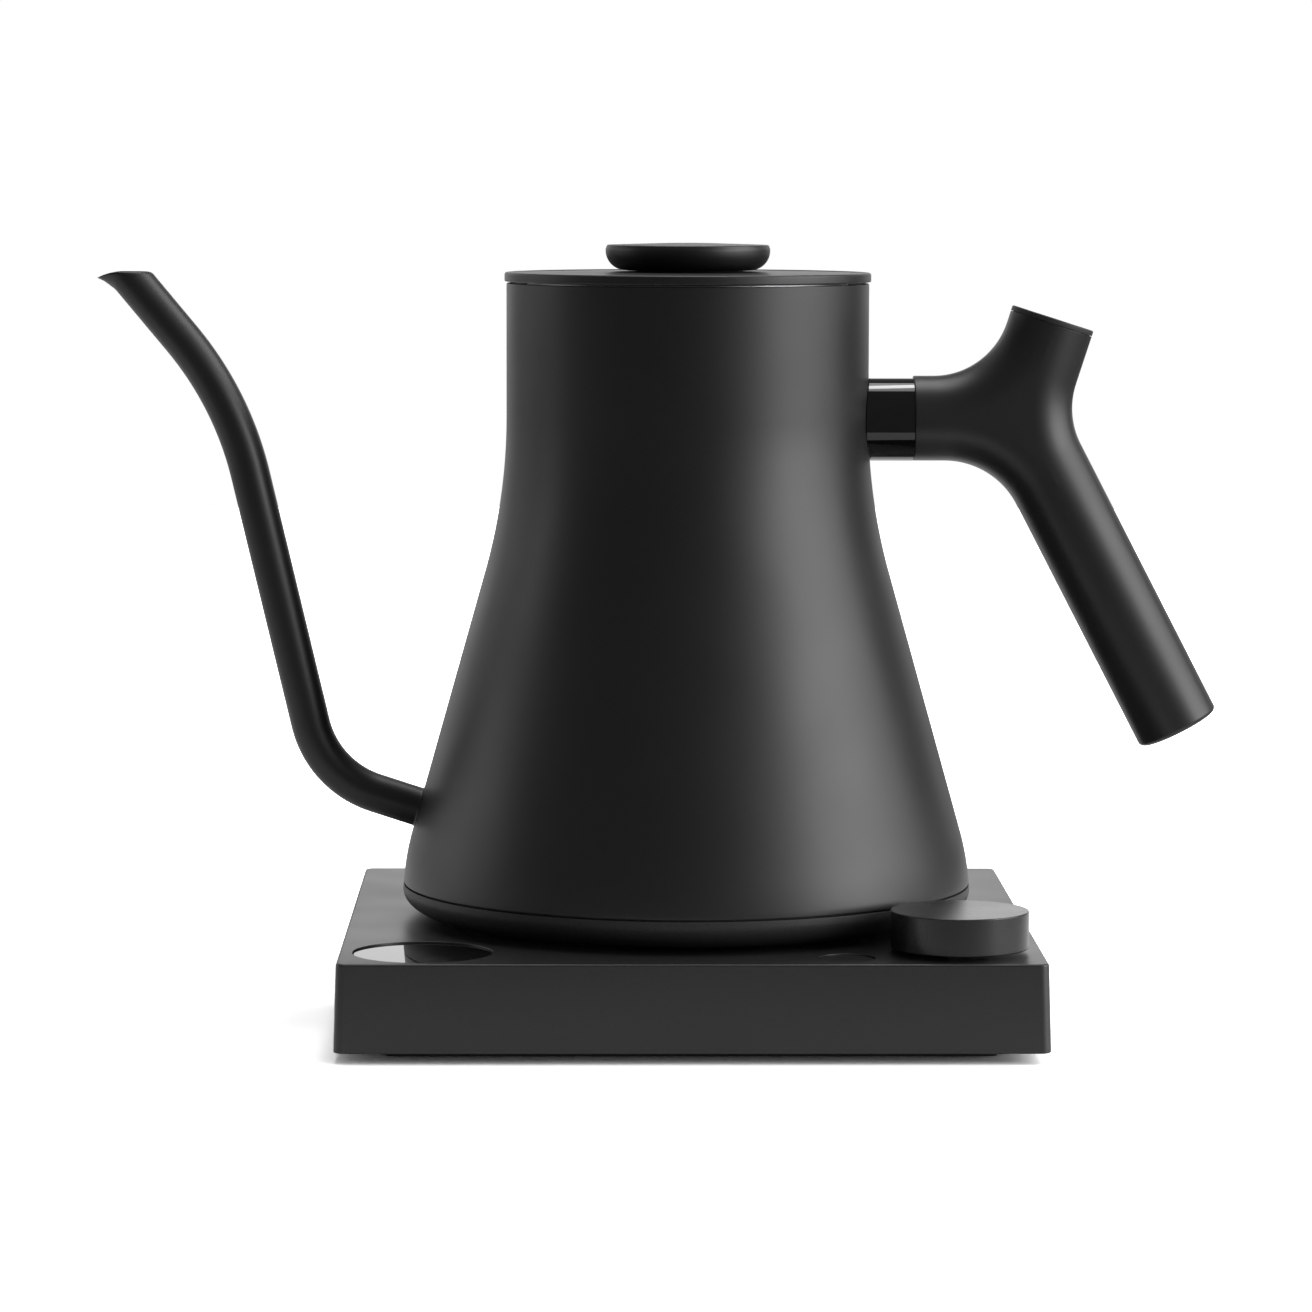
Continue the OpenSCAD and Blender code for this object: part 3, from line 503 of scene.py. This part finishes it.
def turned(name, colour, lighter, roughness, depth):
    """Metal with the fine rings that turning or spinning leaves, about the upright axis."""
    nodes = Nodes(name, colour, roughness, metallic=1.0)
    split = nodes.add("ShaderNodeSeparateXYZ", Vector=nodes.place)
    level = nodes.add("ShaderNodeCombineXYZ", X=split.outputs["X"], Y=split.outputs["Y"])
    radius = nodes.add("ShaderNodeVectorMath", Vector=level.outputs["Vector"])
    radius.operation = "LENGTH"
    rings = nodes.add("ShaderNodeCombineXYZ", X=radius.outputs["Value"], Z=split.outputs["Z"])
    lines = nodes.noise(0.25, 4, rings.outputs["Vector"])
    nodes.set("Base Color", nodes.blend(nodes.vary(lines, 0, 1), colour, lighter))
    nodes.set("Roughness", nodes.vary(lines, roughness - 0.06, roughness + 0.06))
    nodes.bump(lines, depth)
    return nodes.material


def steel():
    return turned("steel", (0.5, 0.5, 0.5), (0.62, 0.62, 0.62), 0.32, 0.004)


def aluminium():
    return turned("aluminium", (0.7, 0.71, 0.72), (0.8, 0.81, 0.82), 0.35, 0.004)


def brass():
    return turned("brass", (0.68, 0.48, 0.2), (0.8, 0.6, 0.3), 0.28, 0.003)


def zinc():
    return turned("zinc", (0.55, 0.56, 0.58), (0.66, 0.67, 0.69), 0.25, 0.003)


MATERIALS = {}


def material_of(finish):
    """The material of a slot in the record or of a finish above, made when it is first asked for."""
    if finish not in MATERIALS:
        MATERIALS[finish] = globals()[finish]()
    return MATERIALS[finish]


# ---------- Base ----------

def base_housing():
    shape = Shape()
    draft = BASE_DRAFT / (BASE_TOP - BASE_GAP)
    roof = BASE_TOP - BASE_WALL
    inner = HALF_TOP - BASE_WALL
    top_edge = arc((HALF_TOP - BASE_EDGE, BASE_TOP - BASE_EDGE), BASE_EDGE, pi / 2, 0, 6)
    foot = BASE_GAP - BASE_FOOT_DROP
    foot_edge = arc((HALF_FOOT - BASE_FOOT_EDGE, foot + BASE_FOOT_EDGE), BASE_FOOT_EDGE, 0, -pi / 2, 6)
    wall = [Vector((HALF_TOP + draft * (BASE_TOP - z), z)) for z in (18, 12, 7)]
    outline = top_edge + wall + foot_edge
    outside = [square_ring(p.x, BASE_CORNER + min(0, p.x - HALF_TOP), p.y) for p in outline]
    inside = [square_ring(inner, 1, z) for z in (foot, roof)]
    walls = shape.skin(outside + inside)
    holes = [
        (middle("display_lens"), high("display_lens").x - middle("display_lens").x + 0.15, 0.15),
        (middle("dial_knob"), BUSHING_HOLE, 0.2),
        (middle("power_button"), high("power_button").x - middle("power_button").x + 0.25, 0.2),
        (Vector((0, 0)), SOCKET_HOLE, 0.3),
    ]
    above, below = [], []
    for at, radius, edge in holes:
        lip = arc((radius + edge, BASE_TOP - edge), edge, pi / 2, pi, 4)
        rings = shape.skin([circle(at, p.x, p.y, 96) for p in lip] + [circle(at, radius, roof, 96)])
        above.append(rings[0])
        below.append(rings[-1])
    shape.flat(walls[0], *above)
    shape.flat(walls[-1], *below)
    shape.piece("base_cover", "base_housing", finishes=["base_black"])


def display_lens():
    shape = Shape()
    radius = high("display_lens").x - middle("display_lens").x
    bottom, top = low("display_lens").z, high("display_lens").z
    outline = rounded([(0, bottom, 0), (radius, bottom, 0.1), (radius, top, 0.25), (0, top, 0)], 4)
    shape.turn(outline, middle("display_lens"), loop=False)
    shape.piece("display_window", "display_lens")


def dial_knob():
    """The dial is open underneath, where it clears the nut that holds its encoder."""
    shape = Shape()
    radius = high("dial_knob").x - middle("dial_knob").x
    bottom, top = low("dial_knob").z, high("dial_knob").z
    outline = rounded([
        (0, top, 0), (radius, top, 0.3), (radius, bottom, 0.4), (8.5, bottom, 0.3), (8.5, bottom + 2.6, 0.3),
        (3.02, bottom + 2.6, 0.1), (3.02, top - 3, 0.1), (0, top - 3, 0),
    ])
    shape.turn(outline, middle("dial_knob"), loop=False)
    shape.piece("dial", "dial_knob", finishes=["dial_black"])


def power_button():
    shape = Shape()
    at = middle("power_button")
    radius = high("power_button").x - at.x
    bottom, top = low("power_button").z, high("power_button").z
    skirt = BASE_TOP - 3.5
    outline = rounded([
        (0, top - 0.15, 0), (radius - 1.2, top - 0.15, 0.8), (radius - 0.5, top, 0.3), (radius, top, 0.15),
        (radius, skirt, 0.2), (radius - 1.2, skirt, 0.2), (radius - 1.2, bottom + 1, 0.2),
        (3.1, bottom + 1, 0.1), (3.1, bottom, 0.2), (0, bottom, 0),
    ])
    shape.turn(outline, at, loop=False, steps=96)
    shape.piece("button", "power_button", finishes=["base_black"])


# ---------- Kettle body ----------

def body_outline(depth, start_z, end_z):
    """The body's half outline from one height up to another, drawn a depth inside its outer face."""
    foot = FOOT_R - depth
    flare = FLARE_R + depth
    first = asin((start_z - WIDEST_Z) / foot)
    lower = arc((FOOT_CENTRE, WIDEST_Z), foot, first, CONE, 10)
    upper = arc((NECK_R + FLARE_R, FLARE_Z), flare, pi + CONE, pi, 24)
    cone = [lower[-1].lerp(upper[0], k / 8) for k in range(1, 8)]
    neck = [Vector((NECK_R - depth, FLARE_Z + (end_z - FLARE_Z) * k / 4)) for k in range(1, 5)]
    return lower + cone + upper + neck


def body_radius(z):
    """The body's outer radius at a height."""
    if z >= FLARE_Z:
        return NECK_R
    if z >= FLARE_END[1]:
        return NECK_R + FLARE_R - sqrt(FLARE_R ** 2 - (FLARE_Z - z) ** 2)
    if z >= FOOT_START_Z:
        return FLARE_END[0] + tan(CONE) * (FLARE_END[1] - z)
    return FOOT_CENTRE + sqrt(FOOT_R ** 2 - (z - WIDEST_Z) ** 2)


def body_shell():
    """Coated outside, bare steel inside, with a rolled rim."""
    shape = Shape()
    roll = 0.35
    outer = body_outline(0, SEAM_Z + 0.3, BODY_TOP - roll)
    inner = body_outline(STEEL, SEAM_Z + 0.2, BODY_TOP - roll)
    rim = arc((NECK_R - roll, BODY_TOP - roll), roll, 0, pi / 2, 8)[1:]
    turned_in = [Vector((NECK_R - STEEL + 0.04, BODY_TOP - 0.04)), inner[-1]]
    hem = [Vector((outer[0].x - 0.1, SEAM_Z + 0.05)), Vector((outer[0].x - 0.35, SEAM_Z))]
    coated = hem[::-1] + outer + rim + turned_in
    bare = inner[::-1] + hem[1:]
    shape.turn(coated, loop=False)
    shape.turn(bare, material=1, loop=False)
    shape.piece("kettle_wall", "body_shell", finishes=["powder_black", "steel"])


def bottom_cover():
    shape = Shape()
    bottom, top = low("bottom_cover").z, SEAM_Z - 0.4
    wall, curve_z, flat_r, hole = 2.0, 31.5, WIDEST_R - 10, 23.0

    def curve(depth):
        """A quarter of an ellipse from the widest point to the flat bottom, drawn a depth inside."""
        reach, drop = WIDEST_R - flat_r - depth, curve_z - bottom - depth
        return [
            Vector((flat_r + reach * cos(a), curve_z - drop * sin(a)))
            for a in (radians(7.5 * k) for k in range(13))
        ]

    outer = rounded([(WIDEST_R - wall, top, 0), (WIDEST_R - 0.1, top, 0.05), (WIDEST_R, curve_z, 0)], 5)[1:-1]
    collar = rounded([
        (flat_r, bottom, 0), (hole, bottom, 0.5), (hole, bottom + 5, 0.3),
        (hole + wall, bottom + 5, 0.3), (hole + wall, bottom + wall, 0.5), (flat_r, bottom + wall, 0),
    ], 4)[1:-1]
    shape.turn(outer + curve(0) + collar + curve(wall)[::-1] + [Vector((WIDEST_R - wall, top))])
    shape.piece("underside_cover", "bottom_cover")


# ---------- Lid ----------

def lid_plate():
    shape = Shape()
    rim = high("lid_plate").x
    bottom, top = low("lid_plate").z, high("lid_plate").z
    band = bottom + 2.35
    outline = rounded([
        (LID_HOLE, top, 0), (14, top, 6), (rim - 2.6, band - 0.2, 4), (rim - 1.6, band - 0.25, 1),
        (rim - 1, band, 0.8), (rim, band, 0.6), (rim, bottom, 0.35), (rim - 1.3, bottom, 0.2),
        (rim - 1.3, band - 1.3, 0.3),
        (LID_HOLE, band - 1.3, 0),
    ])
    shape.turn(outline)
    shape.piece("lid_cover", "lid_plate")


def lid_knob():
    shape = Shape()
    radius = high("lid_knob").x
    bottom, top = low("lid_knob").z, high("lid_knob").z
    outline = rounded([
        (0, top, 0), (6, top, 20), (radius - 0.4, top - 0.45, 0.5), (radius, top - 1.5, 0.9),
        (radius, bottom, 5), (2.05, bottom, 0.1), (2.05, top - 1.5, 0), (0, top - 1.5, 0),
    ], 10)
    shape.turn(outline, loop=False)
    shape.piece("lid_handle", "lid_knob")


def knob_washer():
    shape = Shape()
    radius = high("knob_washer").x
    bottom, top = low("knob_washer").z, high("knob_washer").z
    outline = rounded([
        (LID_HOLE, bottom, 0), (radius, bottom, 0.1), (radius, top, 0.1), (LID_HOLE, top, 0),
    ], 3)
    shape.turn(outline)
    shape.piece("lid_handle_washer", "knob_washer")


def lid_skirt():
    """The plug of bare steel under the lid, spun from one sheet."""
    shape = Shape()
    rim = high("lid_skirt").x
    bottom, top = low("lid_skirt").z, high("lid_skirt").z
    flange = top - 1
    outline = rounded([
        (LID_HOLE, top, 0), (rim, top, 0.3), (rim, flange, 0.3), (PLUG_R, flange, 0.4), (PLUG_R, bottom, 1.2),
        (LID_HOLE, bottom, 0), (LID_HOLE, bottom + STEEL, 0), (PLUG_R - STEEL, bottom + STEEL, 0.6),
        (PLUG_R - STEEL, flange, 0.3), (LID_HOLE, flange, 0),
    ])
    shape.turn(outline)
    shape.piece("lid_plug", "lid_skirt")


def lid_gasket():
    shape = Shape()
    outer = high("lid_gasket").x
    inner = PLUG_R + 0.05
    bottom, top = low("lid_gasket").z, high("lid_gasket").z
    level = (bottom + top) / 2
    outline = rounded([
        (inner, bottom, 0.2), (inner + 1.6, bottom, 0.4), (inner + 1.6, level - 0.6, 0.4),
        (outer, level - 0.6, 0.55), (outer, level + 0.6, 0.55), (inner + 1.6, level + 0.6, 0.4),
        (inner + 1.6, top, 0.4), (inner, top, 0.2),
    ], 5)
    shape.turn(outline)
    shape.piece("lid_seal", "lid_gasket")


# ---------- Spout ----------

def tube_ring(at, angle, radius):
    """A ring of points square to a heading, which starts on the side that faces down or out."""
    side = heading(angle + pi / 2)
    ring = []
    for k in range(TUBE_STEPS):
        a = 2 * pi * k / TUBE_STEPS
        p = Vector(at) + side * radius * cos(a)
        ring.append(Vector((p.x, radius * sin(a), p.y)))
    return ring


def spout_line():
    """The centres and headings along the spout, from the end of its tail to the start of its mouth."""
    foot_turn = TAIL_HEADING - RISER_HEADING
    tip_turn = TIP_HEADING - RISER_HEADING
    foot_reach = FOOT_BEND * tan(foot_turn / 2)
    tip_reach = TIP_BEND * tan(tip_turn / 2)
    foot_start = FOOT_CORNER - foot_reach * heading(TAIL_HEADING)
    foot_centre = foot_start + FOOT_BEND * heading(TAIL_HEADING - pi / 2)
    tip_corner = FOOT_CORNER + RISER_LEN * heading(RISER_HEADING)
    tip_start = tip_corner - tip_reach * heading(RISER_HEADING)
    tip_centre = tip_start + TIP_BEND * heading(RISER_HEADING + pi / 2)
    line = [(foot_start - d * heading(TAIL_HEADING), TAIL_HEADING) for d in (9, 6, 3)]
    for k in range(25):
        angle = TAIL_HEADING - foot_turn * k / 24
        line.append((foot_centre + FOOT_BEND * heading(angle + pi / 2), angle))
    riser_end = line[-1][0]
    line += [(riser_end.lerp(tip_start, k / 10), RISER_HEADING) for k in range(1, 10)]
    for k in range(25):
        angle = RISER_HEADING + tip_turn * k / 24
        line.append((tip_centre + TIP_BEND * heading(angle - pi / 2), angle))
    return line


def spout_foot(radius, depth):
    """The ring in which a tube along the tail meets the body's wall, a depth inside the wall's outer face."""
    ring = []
    for start in tube_ring(FOOT_CORNER, TAIL_HEADING, radius):
        near, far = 0.0, 40.0
        for _ in range(30):
            half = (near + far) / 2
            p = start - half * Vector((cos(TAIL_HEADING), 0, sin(TAIL_HEADING)))
            if hypot(p.x, p.y) > body_radius(p.z) - depth:
                near = half
            else:
                far = half
        ring.append(p)
    return ring


def bezier(a, b, c, t):
    """A point on the curve from a to c that leaves towards b."""
    return a.lerp(b, t).lerp(b.lerp(c, t), t)


def spout_mouth(last, angle):
    """Five rings from the tube out to the rim and back in, with a lip that dips to a beak at the front."""
    slant = 1 / sin(angle)
    centre = last + (MOUTH_Z - last.y) * slant * heading(angle)
    along = Vector((cos(angle), 0, sin(angle)))
    front_x = centre.x - SPOUT_R * slant
    rings = [[], [], [], [], []]
    for k in range(TUBE_STEPS):
        a = 2 * pi * k / TUBE_STEPS
        front = cos(a)
        beak = max(0.0, front) ** 3
        x = centre.x - SPOUT_R * slant * front - (front_x - LIP_X) * beak
        drop = LIP_DROP * max(0.0, 1 - (x - LIP_X) / LIP_LEN) ** 2.2
        rim = Vector((x, SPOUT_R * sin(a) * (1 - 0.25 * beak), MOUTH_Z - drop))
        tube = Vector((centre.x - SPOUT_R * slant * front, SPOUT_R * sin(a), MOUTH_Z)) - along * drop * slant
        drawn = (rim - tube).length
        inward = Vector((centre.x - x, -rim.y, 0)).normalized()
        thick = SPOUT_WALL * (1 - 0.5 * beak)
        edge = thick * (1.4 if front < 0 else 1.0)
        rings[0].append(tube - along * (1.72 * drawn + edge))
        rings[1].append(tube - along * (0.73 * drawn + edge * 0.5))
        rings[2].append(rim - (along * edge).lerp(Vector((-0.9, 0, 0.35)) * thick, beak))
        rings[3].append(rim)
        rings[4].append(rim + inward * thick * (1 + 0.3 * abs(front)))
    return rings


def spout():
    shape = Shape()
    line = spout_line()
    last, angle = line[-1]
    bore = SPOUT_R - SPOUT_WALL
    below = last + (MOUTH_Z - 9 - last.y) / sin(angle) * heading(angle)
    line += [(last.lerp(below, k / 3), angle) for k in (1, 2, 3)]
    along = Vector((cos(angle), 0, sin(angle)))
    tail = Vector((cos(TAIL_HEADING), 0, sin(TAIL_HEADING)))
    leave, bend, outer, top, inner = spout_mouth(last, angle)

    foot, toe = spout_foot(SPOUT_R, 0), spout_foot(SPOUT_R + WELD, 0.02)
    weld = [[bezier(b, a, a + WELD * tail, t / 4) for a, b in zip(foot, toe)] for t in range(5)]
    outside = [tube_ring(at, turned_to, SPOUT_R) for at, turned_to in line]
    inside = [tube_ring(at, turned_to, bore) for at, turned_to in line]
    run = [[a.lerp(b, t / 3) for a, b in zip(outside[-1], leave)] for t in (1, 2)]
    flare = [[bezier(a, b, c, t / 8) for a, b, c in zip(leave, bend, outer)] for t in range(9)]
    rim = [[bezier(a, b, c, t / 5) for a, b, c in zip(outer, top, inner)] for t in range(1, 6)]
    throat = [
        [bezier(b, a + along * (b - a).length * 0.6, a, t / 6) for a, b in zip(inside[-1], inner)]
        for t in range(1, 6)
    ]
    shape.skin(weld + outside + run + flare + rim + throat + inside[::-1] + [spout_foot(bore, STEEL)])
    shape.close()
    shape.piece("gooseneck", "spout")


# ---------- Handle ----------

def half_ring(at, outward, radius, steps=24):
    """Half a ring from one side of the plane of symmetry, over an outward direction, to the other side."""
    ring = []
    for k in range(steps + 1):
        a = pi * k / steps
        p = at + outward * radius * sin(a)
        ring.append(Vector((p.x, radius * cos(a), p.y)))
    return ring


def grip():
    """Three round branches. The skin between two of them follows a concave blend, and the middle is flat."""
    shape = Shape()
    branches = {
        "stub": (STUB_HEADING, STUB_LEN - CAP_T - CAP_SEAM, 0.1),
        "neck": (pi, JOINT.x - GRIP_START, 0.4),
        "handle": (HANDLE_HEADING, HANDLE_LEN, 1.3),
    }
    blends = [("stub", "neck", 19.8), ("neck", "handle", 21.0), ("handle", "stub", 20.0)]

    def spread(a, b):
        """Half the angle between two branches."""
        return acos(heading(branches[a][0]).dot(heading(branches[b][0]))) / 2

    reaches = {blend: (blend[2] + GRIP_R) / tan(spread(*blend[:2])) for blend in blends}

    def stations(name, blend):
        """(distance, radius) along a branch, from its end to where its side leaves for the blend."""
        _, length, edge = branches[name]
        own = reaches[blend]
        both = max(reach for other, reach in reaches.items() if name in other[:2])
        made = [(length, GRIP_R - edge * 1.5)]
        made += [(length - edge * (1 - sin(a)), GRIP_R - edge * (1 - cos(a)))
                 for a in (pi / 2 * (1 - k / 6) for k in range(7))]
        made += [(length - edge + (both - length + edge) * k / 6, GRIP_R) for k in range(1, 7)]
        if own < both:
            made += [(both + (own - both) * k / 6, GRIP_R) for k in range(1, 7)]
        return made

    def side_run(name, blend, centre):
        """The half rings along a branch on a blend's side, from its end to where the blend starts."""
        along = heading(branches[name][0])
        side = Vector((-along.y, along.x))
        if side.dot(centre - JOINT) < 0:
            side = -side
        return [half_ring(JOINT + d * along, side, r) for d, r in stations(name, blend)]

    for blend in blends:
        a, b, radius = blend
        between = (heading(branches[a][0]) + heading(branches[b][0])).normalized()
        centre = JOINT + between * (radius + GRIP_R) / sin(spread(a, b))
        first, last = (JOINT + reaches[blend] * heading(branches[name][0]) - centre for name in (a, b))
        turn = first.angle_signed(last)
        bend = []
        for k in range(1, 24):
            inward = Matrix.Rotation(-turn * k / 24, 2) @ first.normalized()
            bend.append(half_ring(centre + inward * (radius + GRIP_R), -inward, GRIP_R))
        rings = side_run(a, blend, centre) + bend + side_run(b, blend, centre)[::-1]
        shape.skin(rings, closed=False)
    shape.close()
    shape.piece("forked_grip", "grip", crease=50)


def on_stub(distance):
    """The frame of the stub's axis at a distance from the joint: its Z runs out along the stub."""
    at = JOINT + distance * heading(STUB_HEADING)
    return Matrix.Translation(Vector((at.x, 0, at.y)) * MM) @ Matrix.Rotation(pi / 2 - STUB_HEADING, 4, "Y")


def grip_cap():
    shape = Shape()
    rim, recess, plug = 9.0, 0.6, 6.9
    outline = rounded([
        (0, CAP_T - recess, 0), (rim, CAP_T - recess, 0.1), (rim, CAP_T, 0.25), (GRIP_R, CAP_T, 0.4),
        (GRIP_R, 0, 0.1), (GRIP_R - 0.6, 0, 0), (GRIP_R - 0.6, -CAP_SEAM, 0), (plug, -CAP_SEAM, 0.05),
        (plug, -6, 0.4), (plug - 1.9, -6, 0.2), (plug - 1.9, -1, 0), (0, -1, 0),
    ])
    shape.turn(outline, loop=False)
    shape.piece("grip_end_ring", "grip_cap", matrix=on_stub(STUB_LEN - CAP_T))


def cap_disc():
    shape = Shape()
    radius, thick, crown = 8.9, 0.5, 0.4
    outline = rounded([(0, 0, 0), (radius, 0, 0.1), (radius, thick, 0.15), (radius - 0.6, thick, 0.6)], 4)
    outline += [Vector((r, thick + crown * cos(pi / 2 * r / radius))) for r in (8, 7, 6, 4.5, 3, 1.5, 0)]
    shape.turn(outline, loop=False)
    shape.piece("grip_end_disc", "cap_disc", matrix=on_stub(STUB_LEN - 0.6))


def handle_neck():
    """A polished tube whose end is shaped to the kettle's neck."""
    shape = Shape()
    radius = high("handle_neck").y
    centre = middle("handle_neck").z
    end = high("handle_neck").x

    def ring(r, x):
        return [
            Vector((sqrt(NECK_R ** 2 - p.x ** 2) if x is None else x, p.x, centre + p.y))
            for p in (r * heading(2 * pi * k / 128) for k in range(128))
        ]

    start = [a.lerp(b, 0.02) for a, b in zip(ring(radius, None), ring(radius, end))]
    rings = [ring(radius - 0.25, None), start] + [ring(radius, NECK_R + x) for x in (2, 5, 8)]
    rings += [ring(radius, end), ring(6, end), ring(6, None)]
    shape.skin(rings, loop=True)
    shape.piece("grip_collar", "handle_neck")


# ---------- The pieces that keep their CAD shape ----------

# The seal in the kettle's seam takes dark rubber, not the pale silicone of the lid's seal. Its dark colour also paints
# the shade in that gap, so the seam shows as a dark line.
OWN_FINISH = {"bottom_seal": "rubber"}


def finish_cad_node(obj):
    """Joins the faces of a CAD mesh, breaks its sharp edges, and gives it its material."""
    obj.modifiers.new("join", "WELD").merge_threshold = 0.002 * MM
    bevel = obj.modifiers.new("edges", "BEVEL")
    bevel.width = 0.15 * MM
    bevel.segments = 2
    bevel.limit_method = "ANGLE"
    bevel.angle_limit = radians(35)
    obj.modifiers.new("even_normals", "WEIGHTED_NORMAL")
    # The seam's seal takes the dark finish listed above, whose colour is partly painted shade.
    material = material_of(OWN_FINISH.get(obj.name, SLOT_OF[obj.name]))
    for slot in obj.material_slots:
        slot.material = material


# ---------- Studio ----------

FLOOR_R = 2000.0
# More than a real surface gives back, so that the floor meets the white surroundings without a line
FLOOR_WHITE = 2.0
TABLE_WHITE = 0.9
TABLE_Z = -0.5
ROOM = 0.16
SOFTBOXES = [
    # name, azimuth from the camera's side towards +X, elevation, distance, width, height, watts
    ("right_fore", 40, 11, 2500, 870, 1150, 3.4),
    ("right_front", 60, 11, 2500, 870, 1150, 23),
    ("right_side", 80, 11, 2500, 870, 1150, 19),
    ("right_rear", 100, 11, 2500, 870, 1150, 8),
    ("right_high", 90, 42, 2500, 1900, 1300, 33),
    ("left_side", -100, 11, 2500, 870, 1150, 4.3),
    ("left_rear", -120, 11, 2500, 870, 1150, 2.7),
    ("left_high", -135, 42, 2500, 1900, 1300, 3),
    ("back_left", -155, 11, 2500, 1200, 1150, 3.9),
    ("back", 177, 11, 2500, 870, 1150, 3.7),
    ("back_right", 155, 11, 2500, 1200, 1150, 3.2),
    ("top", 180, 75, 2500, 1600, 1570, 25),
]
COLLAR_AT = Vector((52, 0, 153))
STRIP_DISTANCE, STRIP_WIDTH, STRIP_LENGTH, STRIP_WATTS = 1200, 60, 750, 1.4
STRIP_ELEVATION = radians(75)
CAMERA_PLACE = Vector((-25.887, -1309.52, 214.888))
CAMERA_YAW = radians(0.78574)
CAMERA_PITCH = radians(5.391)
CAMERA_ROLL = radians(0.12816)
LENS = 140.19


def camera():
    data = bpy.data.cameras.new("camera")
    data.sensor_width = 36
    data.lens = LENS
    data.clip_start, data.clip_end = 0.01, 100
    obj = bpy.data.objects.new("camera", data)
    turn = Matrix.Rotation(-CAMERA_YAW, 4, "Z") @ Matrix.Rotation(pi / 2 - CAMERA_PITCH, 4, "X")
    obj.matrix_world = Matrix.Translation(CAMERA_PLACE * MM) @ turn @ Matrix.Rotation(CAMERA_ROLL, 4, "Z")
    bpy.context.scene.collection.objects.link(obj)
    bpy.context.scene.camera = obj


def white_sheet(name, corners, z, white):
    """A flat white sheet of the studio, which isn't part of the object."""
    shape = Shape()
    shape.flat(shape.ring([Vector((x, y, z)) for x, y in corners]))
    mesh = bpy.data.meshes.new(name)
    shape.bm.to_mesh(mesh)
    shape.bm.free()
    obj = bpy.data.objects.new(name, mesh)
    bpy.context.scene.collection.objects.link(obj)
    nodes = Nodes(name + "_white", (white, white, white), 0.8)
    nodes.set("Specular IOR Level", 0.0)
    mesh.materials.append(nodes.material)
    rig.stage(obj)
    return obj


def floor():
    """A floor that only the camera sees, and a table that it doesn't see, for bounced light and reflections."""
    seen = white_sheet("floor", [FLOOR_R * heading(2 * pi * k / 96) for k in range(96)], 0, FLOOR_WHITE)
    seen.visible_diffuse = False
    seen.visible_glossy = False
    seen.visible_shadow = False
    table = white_sheet("table", [(-600, -225), (300, -225), (300, 600), (-600, 600)], TABLE_Z, TABLE_WHITE)
    table.visible_camera = False


def softbox(name, out, at, width, height, power):
    """A rectangular light that faces back along a direction."""
    data = bpy.data.lights.new(name, "AREA")
    data.shape = "RECTANGLE"
    data.size, data.size_y = width * MM, height * MM
    data.energy = power
    obj = bpy.data.objects.new(name, data)
    obj.visible_camera = False
    obj.location = at * MM
    obj.rotation_mode = "QUATERNION"
    obj.rotation_quaternion = out.to_track_quat("Z", "Y")
    bpy.context.scene.collection.objects.link(obj)


def lights():
    for name, azimuth, elevation, distance, width, height, power in SOFTBOXES:
        a, e = radians(azimuth), radians(elevation)
        out = Vector((sin(a) * cos(e), -cos(a) * cos(e), sin(e)))
        softbox(name, out, out * distance + Vector((0, 0, 100)), width, height, power)
    # A narrow strip overhead, for the line of light along the top of the polished collar.
    out = Vector((0.06, cos(STRIP_ELEVATION), sin(STRIP_ELEVATION))).normalized()
    softbox("collar_strip", out, COLLAR_AT + out * STRIP_DISTANCE, STRIP_WIDTH, STRIP_LENGTH, STRIP_WATTS)


def surroundings():
    """White to the camera, and a dim room to everything else."""
    world = bpy.data.worlds.new("studio")
    world.use_nodes = True
    bpy.context.scene.world = world
    nodes, links = world.node_tree.nodes, world.node_tree.links
    lit = nodes["Background"]
    lit.inputs["Color"].default_value = (1, 1, 1, 1)
    lit.inputs["Strength"].default_value = ROOM
    seen = nodes.new("ShaderNodeBackground")
    seen.inputs["Color"].default_value = (1, 1, 1, 1)
    path = nodes.new("ShaderNodeLightPath")
    mix = nodes.new("ShaderNodeMixShader")
    links.new(path.outputs["Is Camera Ray"], mix.inputs[0])
    links.new(lit.outputs[0], mix.inputs[1])
    links.new(seen.outputs[0], mix.inputs[2])
    links.new(mix.outputs[0], nodes["World Output"].inputs["Surface"])


camera()
floor()
lights()
surroundings()
bpy.context.scene.view_settings.view_transform = "Standard"

base_housing()
display_lens()
dial_knob()
power_button()
body_shell()
bottom_cover()
lid_plate()
lid_knob()
knob_washer()
lid_skirt()
lid_gasket()
spout()
grip()
grip_cap()
cap_disc()
handle_neck()
for cad_node in frame["nodes"].values():
    if not cad_node.hide_render:
        finish_cad_node(cad_node)

boxes = {name: [list(corner) for corner in box] for name, box in (("cad", cad_box), ("visual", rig.bounds()))}
with open("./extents.json", "w") as size_file:
    json.dump(boxes, size_file, indent=1)
